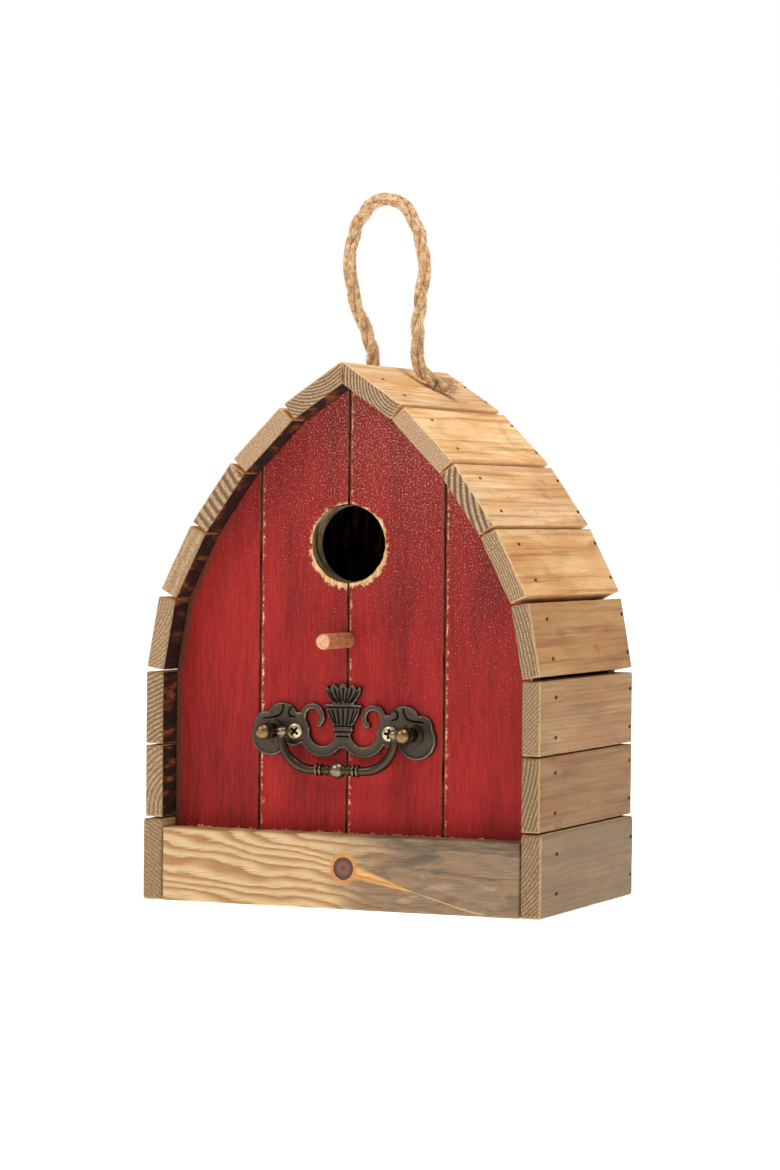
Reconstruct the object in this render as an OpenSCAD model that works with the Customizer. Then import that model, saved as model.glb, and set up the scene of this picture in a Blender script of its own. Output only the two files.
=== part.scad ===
// Hanging birdhouse with a pointed-arch body.
// Two arched panels of upright boards stand on a low base. Seven slats a side
// are nailed round their edges and meet at the ridge. The front panel is set
// back inside the slats and carries a perch and a cast bail pull. The back
// panel has a clean-out hole behind a swinging tin cover. A twisted rope loop
// is stapled to the two ridge slats.
// X is to the right, Y is to the back, Z is up, in millimetres. The origin is
// the middle of the base's underside.

/* [House] */
// Width over the outer faces of the base side boards
house_w = 168; // [145:1:204]
// Depth of the slats, front end to back end
house_d = 108; // [88:1:135]

/* [Slats] */
// Width of a slat across its grain
slat_w = 28.4; // [23.6:0.2:34.2]
// Thickness of a slat
slat_t = 7.6; // [6:0.1:9.2]
// Gap between the inner corners of neighbouring slats
slat_gap = 0.6; // [0.2:0.1:1.2]
// Lean of the third slat from upright, in degrees
tilt_3 = 10; // [6:0.5:14]
// Lean of the fourth slat
tilt_4 = 26.5; // [22:0.5:30]
// Lean of the fifth slat
tilt_5 = 35; // [31:0.5:39]
// Lean of the sixth slat
tilt_6 = 44.5; // [40:0.5:50]
// Lean of the ridge slat
tilt_7 = 56; // [52:0.5:62]

/* [Base] */
// Height of the two base side boards
base_h = 32.2; // [27:0.2:39]
// Thickness of the base side boards
base_t = 8.5; // [7:0.1:10.2]
// Height of the board across the front of the base
apron_h = 28.8; // [24:0.2:32]
// Thickness of that board, which is also how far the front panel is set back
apron_t = 12; // [10:0.5:14.5]
// Thickness of the floor
floor_t = 9; // [7.5:0.5:11]
// Clearance at each end of a board cut to fit between two others
end_clear = 0.2; // [0.1:0.1:0.5]

/* [Panels] */
// Thickness of the front panel's boards
front_t = 9; // [7.5:0.5:11]
// Thickness of the back panel's boards
back_t = 8; // [6.5:0.5:10]
// Distance of the front panel's middle seam from the centre, to the left
seam_shift = 1.5; // [0:0.5:4]
// Distance of its two outer seams from the centre
seam_out = 39; // [33:0.5:46]
// Distance of the back panel's two seams from the centre
back_seam = 25; // [24:0.5:28]
// Width of the groove along each seam
groove_w = 1.4; // [0.8:0.1:2]
// Depth of that groove
groove_deep = 2; // [1:0.5:3]

/* [Entrance and perch] */
// Diameter of the entrance hole
hole_d = 30; // [25:0.5:38]
// Height of the entrance hole's centre
hole_z = 141.6; // [137:0.2:150]
// Diameter of the perch
perch_d = 6.2; // [5:0.1:8]
// Height of the perch
perch_z = 104; // [96:0.5:110]
// Length of the perch in front of the panel
perch_out = 24.5; // [18:0.5:32]

/* [Bail pull] */
// Distance of the pull's centre from the centre of the house, to the left
pull_shift = 2.5; // [0:0.5:4]
// Height of the bail's pivots
pull_z = 68; // [58:0.5:74]
// Thickness of the backplate
plate_t = 2.2; // [1.5:0.1:3]
// Distance between the two posts
post_spacing = 59; // [57:0.5:62]
// Distance from the backplate's face to the pivots
pivot_out = 4.4; // [4:0.1:6]
// Distance from the pivots to the tip of a post
post_tip = 8.4; // [7.5:0.1:10]
// Diameter of the bail's rod
bail_d = 3.8; // [3:0.1:4.2]
// Distance between the middles of the bail's arms
bail_w = 47.8; // [47:0.1:48.2]
// Drop of the bail from its pivots to the middle of its bar
bail_drop = 14.5; // [13.5:0.5:18]
// Diameter of the pivot pins
pin_d = 2.2; // [1.6:0.1:2.6]
// Radial running clearance of the pins in the posts
pin_clear = 0.06; // [0.02:0.01:0.1]
// Distance between the two wood screws
screw_spacing = 40; // [39:0.5:41]
// Diameter of a wood screw's head
screw_head_d = 6.4; // [5.6:0.1:6.6]
// Diameter of a wood screw's shank
screw_d = 3.2; // [2.5:0.1:3.5]

/* [Clean-out] */
// Diameter of the clean-out hole
cleanout_d = 38; // [30:1:42]
// Height of the clean-out hole's centre
cleanout_z = 70; // [62:1:80]
// How far the tin cover laps over the hole's edge
cover_lap = 6; // [4:0.5:8]
// Thickness of the tin
cover_t = 1.2; // [0.8:0.1:2]
// Height of the cover's pivot above the hole's centre
cover_arm = 33; // [32:0.5:40]
// Gap in front of and behind the tin, so that it swings freely
cover_gap = 0.3; // [0.2:0.1:0.6]

/* [Brads] */
// Diameter of a brad's shank
brad_d = 1; // [0.8:0.1:1.1]
// Length of a brad's narrow head, along the grain
brad_head_l = 2.2; // [1.8:0.1:2.8]
// Width of that head
brad_head_w = 1.2; // [1.2:0.1:1.6]
// How far a brad's head is driven below the surface
brad_sunk = 0.5; // [0.2:0.1:1]
// How far the right side's brads stand behind the panels' middles, and the left side's in front
brad_stagger = 1.2; // [0.8:0.1:2]
// Length of a brad
brad_len = 22; // [18:0.5:26]
// Distance of a brad from the edge of its slat
brad_inset = 6.5; // [4:0.5:9]
// Radial clearance round shanks, pegs and screws that stay put
snug = 0.03; // [0.01:0.01:0.08]

/* [Rope] */
// Diameter of the twisted rope
rope_d = 5.2; // [4:0.1:5.2]
// Distance from the ridge, along X, to where each tail of the rope lies down
rope_x = 7.4; // [6.5:0.1:8]

/* [Hidden] */
$fn = 48;
SLATS = [1, 2, 3, 4, 5, 6, 7];
FRONTS = [1, 2, 3, 4];
BACKS = [1, 2, 3];

// The arch. Corner i is where slat i + 1 starts, on the slats' inner faces,
// and the last corner is the ridge.
inner_x = house_w / 2 - base_t;
tilts = [0, 0, tilt_3, tilt_4, tilt_5, tilt_6, tilt_7];
last = len(tilts) - 1;
pitch = slat_w + slat_gap;
function corner_x(i) = i == 0 ? inner_x : corner_x(i - 1) - pitch * sin(tilts[i - 1]);
function corner_z(i) = i == 0 ? base_h + slat_gap / 2 : corner_z(i - 1) + pitch * cos(tilts[i - 1]);
ridge_z = corner_z(last) + corner_x(last) / tan(tilt_7);
ridge_top = ridge_z + slat_t / sin(tilt_7);
arch = concat([for (i = [0 : last]) [corner_x(i), corner_z(i)]], [[0, ridge_z]]);
// Length of slat i + 1 along its inner face: the ridge slat stops at the middle
function inner_len(i) = i < last ? slat_w : (corner_x(i) - slat_gap / 2) / sin(tilts[i]) - slat_gap / 2;

front_y = -house_d / 2;
back_y = house_d / 2;
panel_y = front_y + apron_t;
panel_in = panel_y + front_t;
front_seams = [-inner_x, -seam_out, -seam_shift, seam_out, inner_x];
back_seams = [-inner_x, -back_seam, back_seam, inner_x];

// The bail pull
plate_y = panel_y - plate_t;
pivot_y = plate_y - pivot_out;
bend_r = 13;
post_r = 3.1;
post_play = 0.35;
pin_grip = 1.2;
tenon_d = 3.6;
screw_head_t = 1.4;
screw_len = 8.5;

// The clean-out
cover_y = back_y + cover_gap;
cover_pivot = cleanout_z + cover_arm;
pivot_screw_d = 3.4;
pivot_head_d = 7.5;
pivot_head_t = 2.2;
pivot_screw_len = 7;
ear_d = 14;

// The staples
staple_d = 1.2;
staple_leg = 6;
staple_gap = 0.25;
staple_at = 9.5;
tail_angle = 52;

// The rope's route: up from one ridge slat, round the loop and down to the
// other, with a tail lying on each slat
rope_route = [
    [17.7, 13.4, 204.2], [15.1, 9.5, 205.9], [12.6, 5.6, 207.7], [10.8, 2.7, 210.3],
    [9.7, 0.8, 214.3], [9.3, 0, 219], [9.5, 0, 224], [9.8, 0, 231],
    [10.9, 0, 239.5], [11.8, 0, 247], [12, 0, 253], [11.1, 0, 260],
    [9.1, 0, 267], [6.2, 0, 272.5], [2.3, 0, 277], [-2.4, 0, 279.2],
    [-7, 0, 279], [-11.5, 0, 276.5], [-15.4, 0, 272], [-18.2, 0, 266],
    [-19.6, 0, 259], [-20, 0, 252], [-19.4, 0, 245.5], [-17.8, 0, 239],
    [-14.8, 0, 231.5], [-12, 0, 225], [-10.3, 0, 219.5], [-9.9, 0.8, 214.3],
    [-10.9, 2.7, 210.3], [-12.6, 5.6, 207.7], [-15.1, 9.5, 205.9], [-17.7, 13.4, 204.2]];
rope_steps = 2;
rope_sides = 8;
far = 400;

// ---- helpers ----

// An outline drawn in X and Z, as a solid from y = from back to y = to
module upright(from, to) {
    translate([0, to, 0]) rotate([90, 0, 0]) linear_extrude(to - from) children();
}

// A rod along Y, from y = from back to y = to
module rod_y(d, from, to) {
    translate([0, to, 0]) rotate([90, 0, 0]) cylinder(d = d, h = to - from);
}

// Mirrors what follows for the left side
module on_side(side) {
    mirror([side < 0 ? 1 : 0, 0, 0]) children();
}

// Slat i + 1's own frame on the right: X out of its outer face, Z up its width
module at_slat(i) {
    translate([corner_x(i), 0, corner_z(i)]) rotate([0, -tilts[i], 0]) children();
}

// A brad driven along -X, with its head below the surface at the origin
module brad(extra) {
    head_t = 0.8;
    translate([-brad_sunk, 0, 0]) {
        rotate([0, -90, 0]) cylinder(d = brad_d + 2 * extra, h = brad_len, $fn = 16);
        translate([-head_t, -brad_head_l / 2 - extra, -brad_head_w / 2 - extra])
            cube([head_t + (extra > 0 ? brad_sunk + 1 : 0), brad_head_l + 2 * extra, brad_head_w + 2 * extra]);
    }
}

// Places along Y of one side's brads: near the middle of each panel's edge,
// a little apart from the other side's, so that they pass at the ridge
function brad_rows(side) =
    [panel_y + front_t / 2 + side * brad_stagger, back_y - back_t / 2 + side * brad_stagger];

// Both brads of slat i + 1 at each panel
module slat_brads(side, i, extra) {
    on_side(side) at_slat(i)
        for (y = brad_rows(side))
            for (s = [brad_inset, inner_len(i) - brad_inset])
                translate([slat_t, y, slat_gap / 2 + s]) brad(extra);
}

// Both brads of one base side board at each panel
module side_brads(side, extra) {
    on_side(side)
        for (y = brad_rows(side))
            for (z = [brad_inset + 2, base_h - brad_inset - 2])
                translate([house_w / 2, y, z]) brad(extra);
}

// Every brad, for the holes in the panels
module all_brad_holes() {
    for (side = [-1, 1]) {
        for (i = [0 : last]) slat_brads(side, i, snug);
        side_brads(side, snug);
    }
}

// ---- the arch ----

// End outline of slat i + 1, inner corner at the arch
module slat_outline(i) {
    lean = tilts[i];
    start = slat_gap / 2;
    inner = start + inner_len(i);
    outer = i < last ? inner : inner + slat_t / tan(lean);
    up = [-sin(lean), cos(lean)];
    out = [cos(lean), sin(lean)];
    at = [corner_x(i), corner_z(i)];
    polygon([at + up * start, at + up * start + out * slat_t, at + up * outer + out * slat_t, at + up * inner]);
}

module slat(side, i) {
    color("burlywood") difference() {
        on_side(side) upright(front_y, back_y) slat_outline(i);
        slat_brads(side, i, snug);
        if (i == last) on_side(side) staple(snug);
    }
}

// The panels' outline, down to the underside
module arch_outline() {
    polygon(concat(
        [[inner_x, 0]], arch,
        [for (i = [last : -1 : 0]) [-corner_x(i), corner_z(i)]],
        [[-inner_x, 0]]));
}

module seam_groove(x, y, inward) {
    translate([x, y, 0]) linear_extrude(far)
        polygon([[-groove_w / 2, -inward * 0.1], [groove_w / 2, -inward * 0.1], [0, inward * groove_deep]]);
}

module front_board(k) {
    lo = front_seams[k - 1];
    hi = front_seams[k];
    color("firebrick") difference() {
        intersection() {
            upright(panel_y, panel_in) arch_outline();
            translate([lo, panel_y - 1, -1]) cube([hi - lo, front_t + 2, far]);
        }
        for (x = front_seams) seam_groove(x, panel_y, 1);
        translate([-seam_shift, 0, hole_z]) rod_y(hole_d, panel_y - 1, panel_in + 1);
        translate([-seam_shift, 0, perch_z]) rod_y(perch_d + 2 * snug, panel_y - 1, panel_in + 1);
        at_screws() rod_y(screw_d + 2 * snug, panel_y - 1, panel_in + 1);
        all_brad_holes();
    }
}

module back_board(k) {
    lo = back_seams[k - 1];
    hi = back_seams[k];
    color("tan") difference() {
        intersection() {
            upright(back_y - back_t, back_y) arch_outline();
            translate([lo, back_y - back_t - 1, -1]) cube([hi - lo, back_t + 2, far]);
        }
        for (x = back_seams) seam_groove(x, back_y, -1);
        translate([0, 0, cleanout_z]) rod_y(cleanout_d, back_y - back_t - 1, back_y + 1);
        translate([0, 0, cover_pivot])
            rod_y(pivot_screw_d + 2 * snug, back_y - back_t - 1, back_y + 1);
        all_brad_holes();
    }
}

// ---- the base ----

module base_side(side) {
    color("tan") difference() {
        on_side(side) translate([inner_x, front_y, 0]) cube([base_t, house_d, base_h]);
        side_brads(side, snug);
    }
}

module base_front_board() {
    long = 2 * (inner_x - end_clear);
    color("wheat") translate([-long / 2, front_y, 0]) cube([long, apron_t, apron_h]);
}

module floor_board() {
    long = 2 * (inner_x - end_clear);
    deep = back_y - back_t - panel_in - 2 * end_clear;
    color("tan") translate([-long / 2, panel_in + end_clear, 0]) cube([long, deep, floor_t]);
}

module all_slat_brads(side) {
    color("dimgray") for (i = [0 : last]) slat_brads(side, i, 0);
}

module base_brads() {
    color("dimgray") for (side = [-1, 1]) side_brads(side, 0);
}

// ---- the perch ----

module perch() {
    ease = 0.6;
    color("tan") translate([-seam_shift, 0, perch_z]) {
        rod_y(perch_d, panel_y - perch_out + ease, panel_in);
        translate([0, panel_y - perch_out + ease, 0]) rotate([90, 0, 0])
            cylinder(d1 = perch_d, d2 = perch_d - 2 * ease, h = ease);
    }
}

// ---- the bail pull, drawn round the middle of the pivots' axis ----

module at_pull() {
    translate([-pull_shift, 0, pull_z]) children();
}

module at_screws() {
    at_pull() for (side = [-1, 1]) translate([side * screw_spacing / 2, 0, 0]) children();
}

module ring(x, z, r, band) {
    translate([x, z]) difference() {
        circle(r + band / 2);
        circle(r - band / 2);
    }
}

// The right half of the backplate
module plate_half() {
    post_x = post_spacing / 2;
    // End lobe round the post, with a hump above it and a boss for the screw
    translate([post_x + 1.5, -2]) circle(8);
    translate([post_x - 3.7, 4.1]) circle(7);
    translate([post_x + 3.6, 2.8]) circle(4.7);
    translate([screw_spacing / 2 + 1, 0]) circle(5.9);
    // Lower arm, sweeping under the opening to the middle
    intersection() {
        ring(8.7, 0, 7.7, 4.4);
        translate([0, -12]) square([20, 12]);
    }
    intersection() {
        ring(8.7, 0, 7.7, 4.4);
        translate([13, -1]) square([8, 2.6]);
    }
    // Scroll over the opening, hooked down beside the vase
    difference() {
        ring(12.9, 6, 4, 2.3);
        translate([10.2, -3]) square([12, 8.5]);
    }
    translate([10.2, 3]) circle(1.25);
    polygon([[20.6, 1.2], [20.6, 6.6], [19.9, 7.3], [17.6, 7.4], [16.2, 6.4], [15.95, 5.3], [15.1, 3.4],
             [14.3, 1.2]]);
    // Vase: foot, neck, band, tapered body and rim
    polygon([[0, -6.5], [3.6, -5.6], [2.4, -3.6], [2.4, -1.4], [4.2, 0.3], [4.3, 2.2],
             [4.1, 2.6], [6.6, 7], [7.1, 9.4], [7.9, 9.9], [7.9, 11], [0, 11]]);
    // Five leaves above the rim, each with a round tip
    polygon([[0, 10.9], [4.1, 10.9], [5.6, 12.6], [6.9, 14.6], [7.5, 16.4], [7.6, 18], [6.8, 18.1],
             [5.8, 16.6], [5, 18.2], [3.9, 18.9], [2.9, 18.3], [2, 17], [1.2, 18.7], [0, 19.3]]);
}

module pull_backplate() {
    color("dimgray") at_pull() difference() {
        upright(plate_y, panel_y) {
            plate_half();
            mirror([1, 0]) plate_half();
        }
        for (side = [-1, 1]) {
            translate([side * screw_spacing / 2, 0, 0]) rod_y(screw_d + 2 * snug, plate_y - 1, panel_y + 1);
            translate([side * post_spacing / 2, 0, 0]) rod_y(tenon_d + 2 * snug, plate_y - 1, panel_y + 1);
        }
    }
}

// A turned post: tenon, stepped collar, barrel round the pin and a ball tip
module pull_post(side) {
    color("darkgoldenrod") at_pull() translate([side * post_spacing / 2, 0, 0]) difference() {
        union() {
            rod_y(tenon_d, plate_y, panel_y);
            rod_y(9, plate_y - 0.9, plate_y);
            rod_y(7.2, plate_y - 1.6, plate_y - 0.9);
            rod_y(2 * post_r, pivot_y - 3.4, plate_y - 1.6);
            rod_y(2 * post_r - 1.6, pivot_y - post_tip + 2, pivot_y - 3.4);
            translate([0, pivot_y - post_tip + 3.3, 0]) sphere(3.3);
        }
        translate([0, pivot_y, 0]) rotate([0, -side * 90, 0]) translate([0, 0, -pin_grip])
            cylinder(r = pin_d / 2 + pin_clear, h = post_r + pin_grip + 1);
    }
}

// The bail: two pins, two arms that curve into a bar, and turned beads
module pull_bail() {
    arm_x = bail_w / 2;
    bar_half = arm_x - bend_r;
    pin_end = post_spacing / 2 + pin_grip - post_play;
    thin_d = bail_d - 0.3;
    color("dimgray") at_pull() translate([0, pivot_y, 0]) {
        for (side = [-1, 1]) on_side(side) {
            translate([arm_x, 0, 0]) rotate([0, 90, 0]) cylinder(d = pin_d, h = pin_end - arm_x);
            translate([arm_x, 0, bend_r - bail_drop - 0.5]) cylinder(d = thin_d, h = bail_drop - bend_r + 0.5);
            translate([arm_x, 0, 0]) sphere(d = bail_d + 0.6);
            translate([bar_half, 0, bend_r - bail_drop]) rotate([90, 0, 0])
                rotate_extrude(angle = -90) translate([bend_r, 0]) circle(d = bail_d);
            for (x = [6.6, 8.4])
                translate([x, 0, -bail_drop]) rotate([0, 90, 0]) cylinder(d = bail_d + 1.2, h = 1);
        }
        translate([-bar_half - 0.5, 0, -bail_drop]) rotate([0, 90, 0])
            cylinder(d = thin_d, h = 2 * bar_half + 1);
        translate([0, 0, -bail_drop]) rotate([0, 90, 0]) sphere(d = 2 * bail_d - 1);
    }
}

// Cross-recessed wood screws
module pull_screws() {
    color("khaki") at_screws() difference() {
        union() {
            rod_y(screw_head_d, plate_y - screw_head_t, plate_y);
            rod_y(screw_d, plate_y, plate_y + screw_len);
        }
        for (turn = [35, 125])
            translate([0, plate_y - screw_head_t, 0]) rotate([0, turn, 0]) cube([4.2, 1.6, 0.9], center = true);
    }
}

// ---- the clean-out ----

module cleanout_cover() {
    cover_r = cleanout_d / 2 + cover_lap;
    color("silver") upright(cover_y, cover_y + cover_t) difference() {
        union() {
            translate([0, cleanout_z]) circle(cover_r, $fn = 72);
            translate([-ear_d / 2, cleanout_z]) square([ear_d, cover_arm]);
            translate([0, cover_pivot]) circle(d = ear_d);
        }
        translate([0, cover_pivot]) circle(d = pivot_screw_d + 2 * pin_clear);
    }
}

module cleanout_screw() {
    head_y = cover_y + cover_t + cover_gap;
    color("silver") translate([0, 0, cover_pivot]) difference() {
        union() {
            rod_y(pivot_head_d, head_y, head_y + pivot_head_t);
            rod_y(pivot_screw_d, back_y - pivot_screw_len, head_y);
        }
        translate([0, head_y + pivot_head_t, 0]) rotate([0, 20, 0])
            cube([pivot_head_d + 1, 1.4, 1.1], center = true);
    }
}

// ---- the rope ----

// Catmull-Rom curve through the route's points
function on_curve(a, b, c, d, t) =
    0.5 * (2 * b + (c - a) * t + (2 * a - 5 * b + 4 * c - d) * t * t + (3 * b - a - 3 * c + d) * t * t * t);
function stop(v, i) = v[max(0, min(len(v) - 1, i))];
function smooth(v, n) = concat(
    [for (i = [0 : len(v) - 2]) for (k = [0 : n - 1])
        on_curve(stop(v, i - 1), v[i], v[i + 1], stop(v, i + 2), k / n)],
    [v[len(v) - 1]]);
function unit(v) = v / norm(v);
function heading(v, i) = unit(stop(v, i + 1) - stop(v, i - 1));
// Sideways direction of ring i, carried along the curve so the tube doesn't twist
function sideways(v, i) = i == 0
    ? unit(cross(heading(v, 0), [1, 0, 0]))
    : let (s = sideways(v, i - 1), h = heading(v, i)) unit(s - h * (s * h));

module tube(path, d, sides) {
    points = [for (i = [0 : len(path) - 1])
        let (s = sideways(path, i), u = cross(heading(path, i), s))
        for (k = [0 : sides - 1]) path[i] + d / 2 * (s * cos(360 * k / sides) + u * sin(360 * k / sides))];
    end = (len(path) - 1) * sides;
    faces = concat(
        [[for (k = [0 : sides - 1]) k]],
        [for (i = [0 : len(path) - 2]) for (k = [0 : sides - 1])
            let (a = i * sides + k, b = i * sides + (k + 1) % sides) each [[a, a + sides, b + sides], [a, b + sides, b]]],
        [[for (k = [sides - 1 : -1 : 0]) end + k]]);
    polyhedron(points, faces);
}

module hanger_rope() {
    color("peru") tube(smooth(rope_route, rope_steps), rope_d, rope_sides);
}

// One staple over the rope's tail, on the right-hand ridge slat
module staple(extra) {
    half = rope_d / 2 + staple_gap + staple_d / 2;
    crown = rope_d + 2 * staple_gap + staple_d / 2;
    d = staple_d + 2 * extra;
    translate([rope_x, 0, ridge_top - rope_x / tan(tilt_7)]) rotate([0, 90 - tilt_7, 0])
        rotate([0, 0, tail_angle]) translate([staple_at, 0, 0]) {
            for (side = [-1, 1])
                translate([0, side * half, -staple_leg]) cylinder(d = d, h = crown + staple_leg, $fn = 16);
            translate([0, -half, crown]) rotate([-90, 0, 0]) cylinder(d = d, h = 2 * half, $fn = 16);
            for (side = [-1, 1]) translate([0, side * half, crown]) sphere(d = d, $fn = 16);
        }
}

module rope_staples() {
    color("dimgray") for (side = [-1, 1]) on_side(side) staple(0);
}

// ---- the whole ----

for (i = SLATS) {
    slat(-1, i - 1);
    slat(1, i - 1);
}
for (k = FRONTS) front_board(k);
for (k = BACKS) back_board(k);
base_side(-1);  // base_side_left
base_side(1);  // base_side_right
base_front_board();
floor_board();
all_slat_brads(-1);  // left_slat_brads
all_slat_brads(1);  // right_slat_brads
base_brads();
perch();
pull_backplate();
pull_post(-1);  // pull_post_left
pull_post(1);  // pull_post_right
pull_bail();
pull_screws();
cleanout_cover();
cleanout_screw();
hanger_rope();
rope_staples();
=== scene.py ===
# %% [markdown]
# # A hanging birdhouse with a pointed arch
# Fourteen pine slats, seven a side, are nailed round two upright panels. The
# front panel is red and set back inside the slats; it has an entrance hole, a
# perch and a cast bail pull. A rope loop is stapled to the two top slats.
#
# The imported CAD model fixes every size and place. Each board below is built
# again inside its CAD solid, with the rounded edges, nail pockets and finish
# that the exact solids leave out.

# %% Load the frame
import math
import random

import bmesh
import bpy
import numpy as np
from mathutils import Matrix, Quaternion, Vector, noise


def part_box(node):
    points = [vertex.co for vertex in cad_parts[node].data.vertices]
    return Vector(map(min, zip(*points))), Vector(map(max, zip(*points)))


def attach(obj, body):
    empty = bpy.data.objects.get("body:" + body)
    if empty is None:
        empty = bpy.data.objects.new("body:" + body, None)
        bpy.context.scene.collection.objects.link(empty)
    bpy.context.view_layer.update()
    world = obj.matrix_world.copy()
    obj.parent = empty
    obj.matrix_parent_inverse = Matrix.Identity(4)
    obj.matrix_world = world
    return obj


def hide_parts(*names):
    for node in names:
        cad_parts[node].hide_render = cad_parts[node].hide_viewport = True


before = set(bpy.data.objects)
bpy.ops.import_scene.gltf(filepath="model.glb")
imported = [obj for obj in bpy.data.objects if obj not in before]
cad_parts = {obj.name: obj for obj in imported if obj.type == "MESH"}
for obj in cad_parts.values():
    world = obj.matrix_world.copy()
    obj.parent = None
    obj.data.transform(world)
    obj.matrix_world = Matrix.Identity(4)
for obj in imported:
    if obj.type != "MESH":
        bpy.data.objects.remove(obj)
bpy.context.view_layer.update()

MM = 0.001

# %% [markdown]
# ## Camera
# The house stands a little turned, so that its front and its right side show.
# A long lens from a metre and a half keeps the slats' edges almost parallel,
# as in a catalogue picture. The view transform is the plain one, so that a
# colour written below comes out as written where the light is full.

# %% Camera
AIM = Vector((-1.35, 0, 124.9)) * MM
AZIMUTH, ELEVATION, ROLL = (math.radians(a) for a in (22.575, 1.082, 0.529))
DISTANCE = 1477.6 * MM
LENS = 113.6

away = Vector((math.sin(AZIMUTH) * math.cos(ELEVATION),
               -math.cos(AZIMUTH) * math.cos(ELEVATION),
               math.sin(ELEVATION)))
camera = bpy.data.objects.new("Camera", bpy.data.cameras.new("Camera"))
camera.data.sensor_width = 36
camera.data.lens = LENS
camera.location = AIM + away * DISTANCE
camera.rotation_mode = "QUATERNION"
camera.rotation_quaternion = (-away).to_track_quat("-Z", "Y") @ Quaternion((0, 0, 1), ROLL)
bpy.context.scene.collection.objects.link(camera)
bpy.context.scene.camera = camera
bpy.context.scene.view_settings.view_transform = "Standard"
print("camera at", [round(v, 3) for v in camera.location], "m")

# %% [markdown]
# ## Making meshes
# Every piece is made from lists of points and faces in millimetres. Two shapes
# cover all that is round: a rod swept along a path, for fibres and wire, and a
# form turned on a lathe, for posts, beads, screws and the perch. Both are
# rings of points with quads between them. Holes and slots are cut with a
# boolean, as a drill or a saw would make them.

# %% Mesh helpers
CREASE = 35
BOX_FACES = [[0, 1, 2, 3], [7, 6, 5, 4], [0, 4, 5, 1], [1, 5, 6, 2], [2, 6, 7, 3], [3, 7, 4, 0]]
CORNER_SIGNS = ((-1, -1), (1, -1), (1, 1), (-1, 1))


def make_piece(name, points, faces, crease=CREASE):
    """A mesh object from points in mm, with smooth faces and sharp creases."""
    mesh = bpy.data.meshes.new(name)
    mesh.from_pydata([Vector(p) * MM for p in points], [], faces)
    piece = bpy.data.objects.new(name, mesh)
    bpy.context.scene.collection.objects.link(piece)
    smooth(piece, crease)
    return piece


def smooth(piece, crease=CREASE):
    """Turns all faces outwards and shades them smooth up to the crease angle."""
    work = bmesh.new()
    work.from_mesh(piece.data)
    bmesh.ops.recalc_face_normals(work, faces=work.faces)
    work.to_mesh(piece.data)
    work.free()
    piece.data.shade_smooth()
    piece.data.set_sharp_from_angle(angle=math.radians(crease))


def together(parts):
    """Several (points, faces) as one."""
    points, faces = [], []
    for more_points, more_faces in parts:
        base = len(points)
        points += more_points
        faces += [[base + i for i in face] for face in more_faces]
    return points, faces


def ring_faces(rings, sides):
    """Quads from each ring of points to the next, and a face on both ends."""
    faces = []
    for i in range(rings - 1):
        for k in range(sides):
            low, next_low = i * sides + k, i * sides + (k + 1) % sides
            faces.append([low, next_low, next_low + sides, low + sides])
    last = (rings - 1) * sides
    return faces + [list(range(sides))[::-1], [last + k for k in range(sides)]]


def cut(piece, cutter):
    """Takes the cutter's shape out of the piece, then removes the cutter."""
    step = piece.modifiers.new("cut", "BOOLEAN")
    step.operation = "DIFFERENCE"
    step.solver = "EXACT"
    step.object = cutter
    graph = bpy.context.evaluated_depsgraph_get()
    result = bpy.data.meshes.new_from_object(piece.evaluated_get(graph))
    piece.modifiers.remove(step)
    old, name = piece.data, piece.data.name
    piece.data = result
    bpy.data.meshes.remove(old)
    result.name = name
    bpy.data.objects.remove(cutter)


print("mesh helpers ready")

# %% Rods and turned forms
def round_the_axis(a, b, sides):
    """Unit vectors all the way round, in the plane of a and b."""
    turns = [math.tau * k / sides for k in range(sides)]
    return [a * math.cos(turn) + b * math.sin(turn) for turn in turns]


def carried_frames(path):
    """A sideways pair of directions at each point, that doesn't twist."""
    pairs, side = [], None
    for i in range(len(path)):
        ahead = (path[min(i + 1, len(path) - 1)] - path[max(i - 1, 0)]).normalized()
        if side is None:
            side = ahead.orthogonal()
        side = (side - ahead * side.dot(ahead)).normalized()
        pairs.append((side, ahead.cross(side)))
    return pairs


def rod(path, radii, sides=8):
    """A rod swept along a path, with a closed end at each end."""
    points = []
    for at, (a, b), radius in zip(path, carried_frames(path), radii):
        points += [at + out * radius for out in round_the_axis(a, b, sides)]
    return points, ring_faces(len(path), sides)


def turned(profile, origin, axis, sides=40):
    """A lathe form: profile is (radius, distance along axis) from end to end."""
    axis = Vector(axis).normalized()
    a = axis.orthogonal().normalized()
    outs = round_the_axis(a, axis.cross(a), sides)
    points = []
    for radius, along in profile:
        points += [Vector(origin) + axis * along + out * max(radius, 0.01) for out in outs]
    return points, ring_faces(len(profile), sides)


print("rods and turned forms ready")

# %% [markdown]
# ## Adding nodes
# One function adds a node with its settings and links, and one turns a hex
# colour into the linear light values that the shader works in. Wood, paint and
# metal all have marks that run one way, so noise that is drawn out along a
# direction gets a function of its own. Places in the patterns are in
# millimetres, so that every width below is one that a ruler would give.

# %% Material helpers
def linear(code):
    """An sRGB hex colour as linear RGBA."""
    channels = [int(code[i:i + 2], 16) / 255 for i in (1, 3, 5)]
    return [c / 12.92 if c <= 0.04045 else ((c + 0.055) / 1.055) ** 2.4 for c in channels] + [1]


def add(tree, kind, inputs=None, stops=None, **settings):
    """Adds a node. An input is a link, a hex colour or a plain value."""
    node = tree.nodes.new("ShaderNode" + kind)
    for key, value in settings.items():
        setattr(node, key, value)
    if stops:
        marks = node.color_ramp.elements
        while len(marks) < len(stops):
            marks.new(1.0)
        for mark, (place, tone) in zip(marks, stops):
            mark.position = place
            mark.color = linear(tone) if isinstance(tone, str) else (tone, tone, tone, 1)
    for key, value in (inputs or {}).items():
        connect(tree, node.inputs[key], value)
    return node


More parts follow.
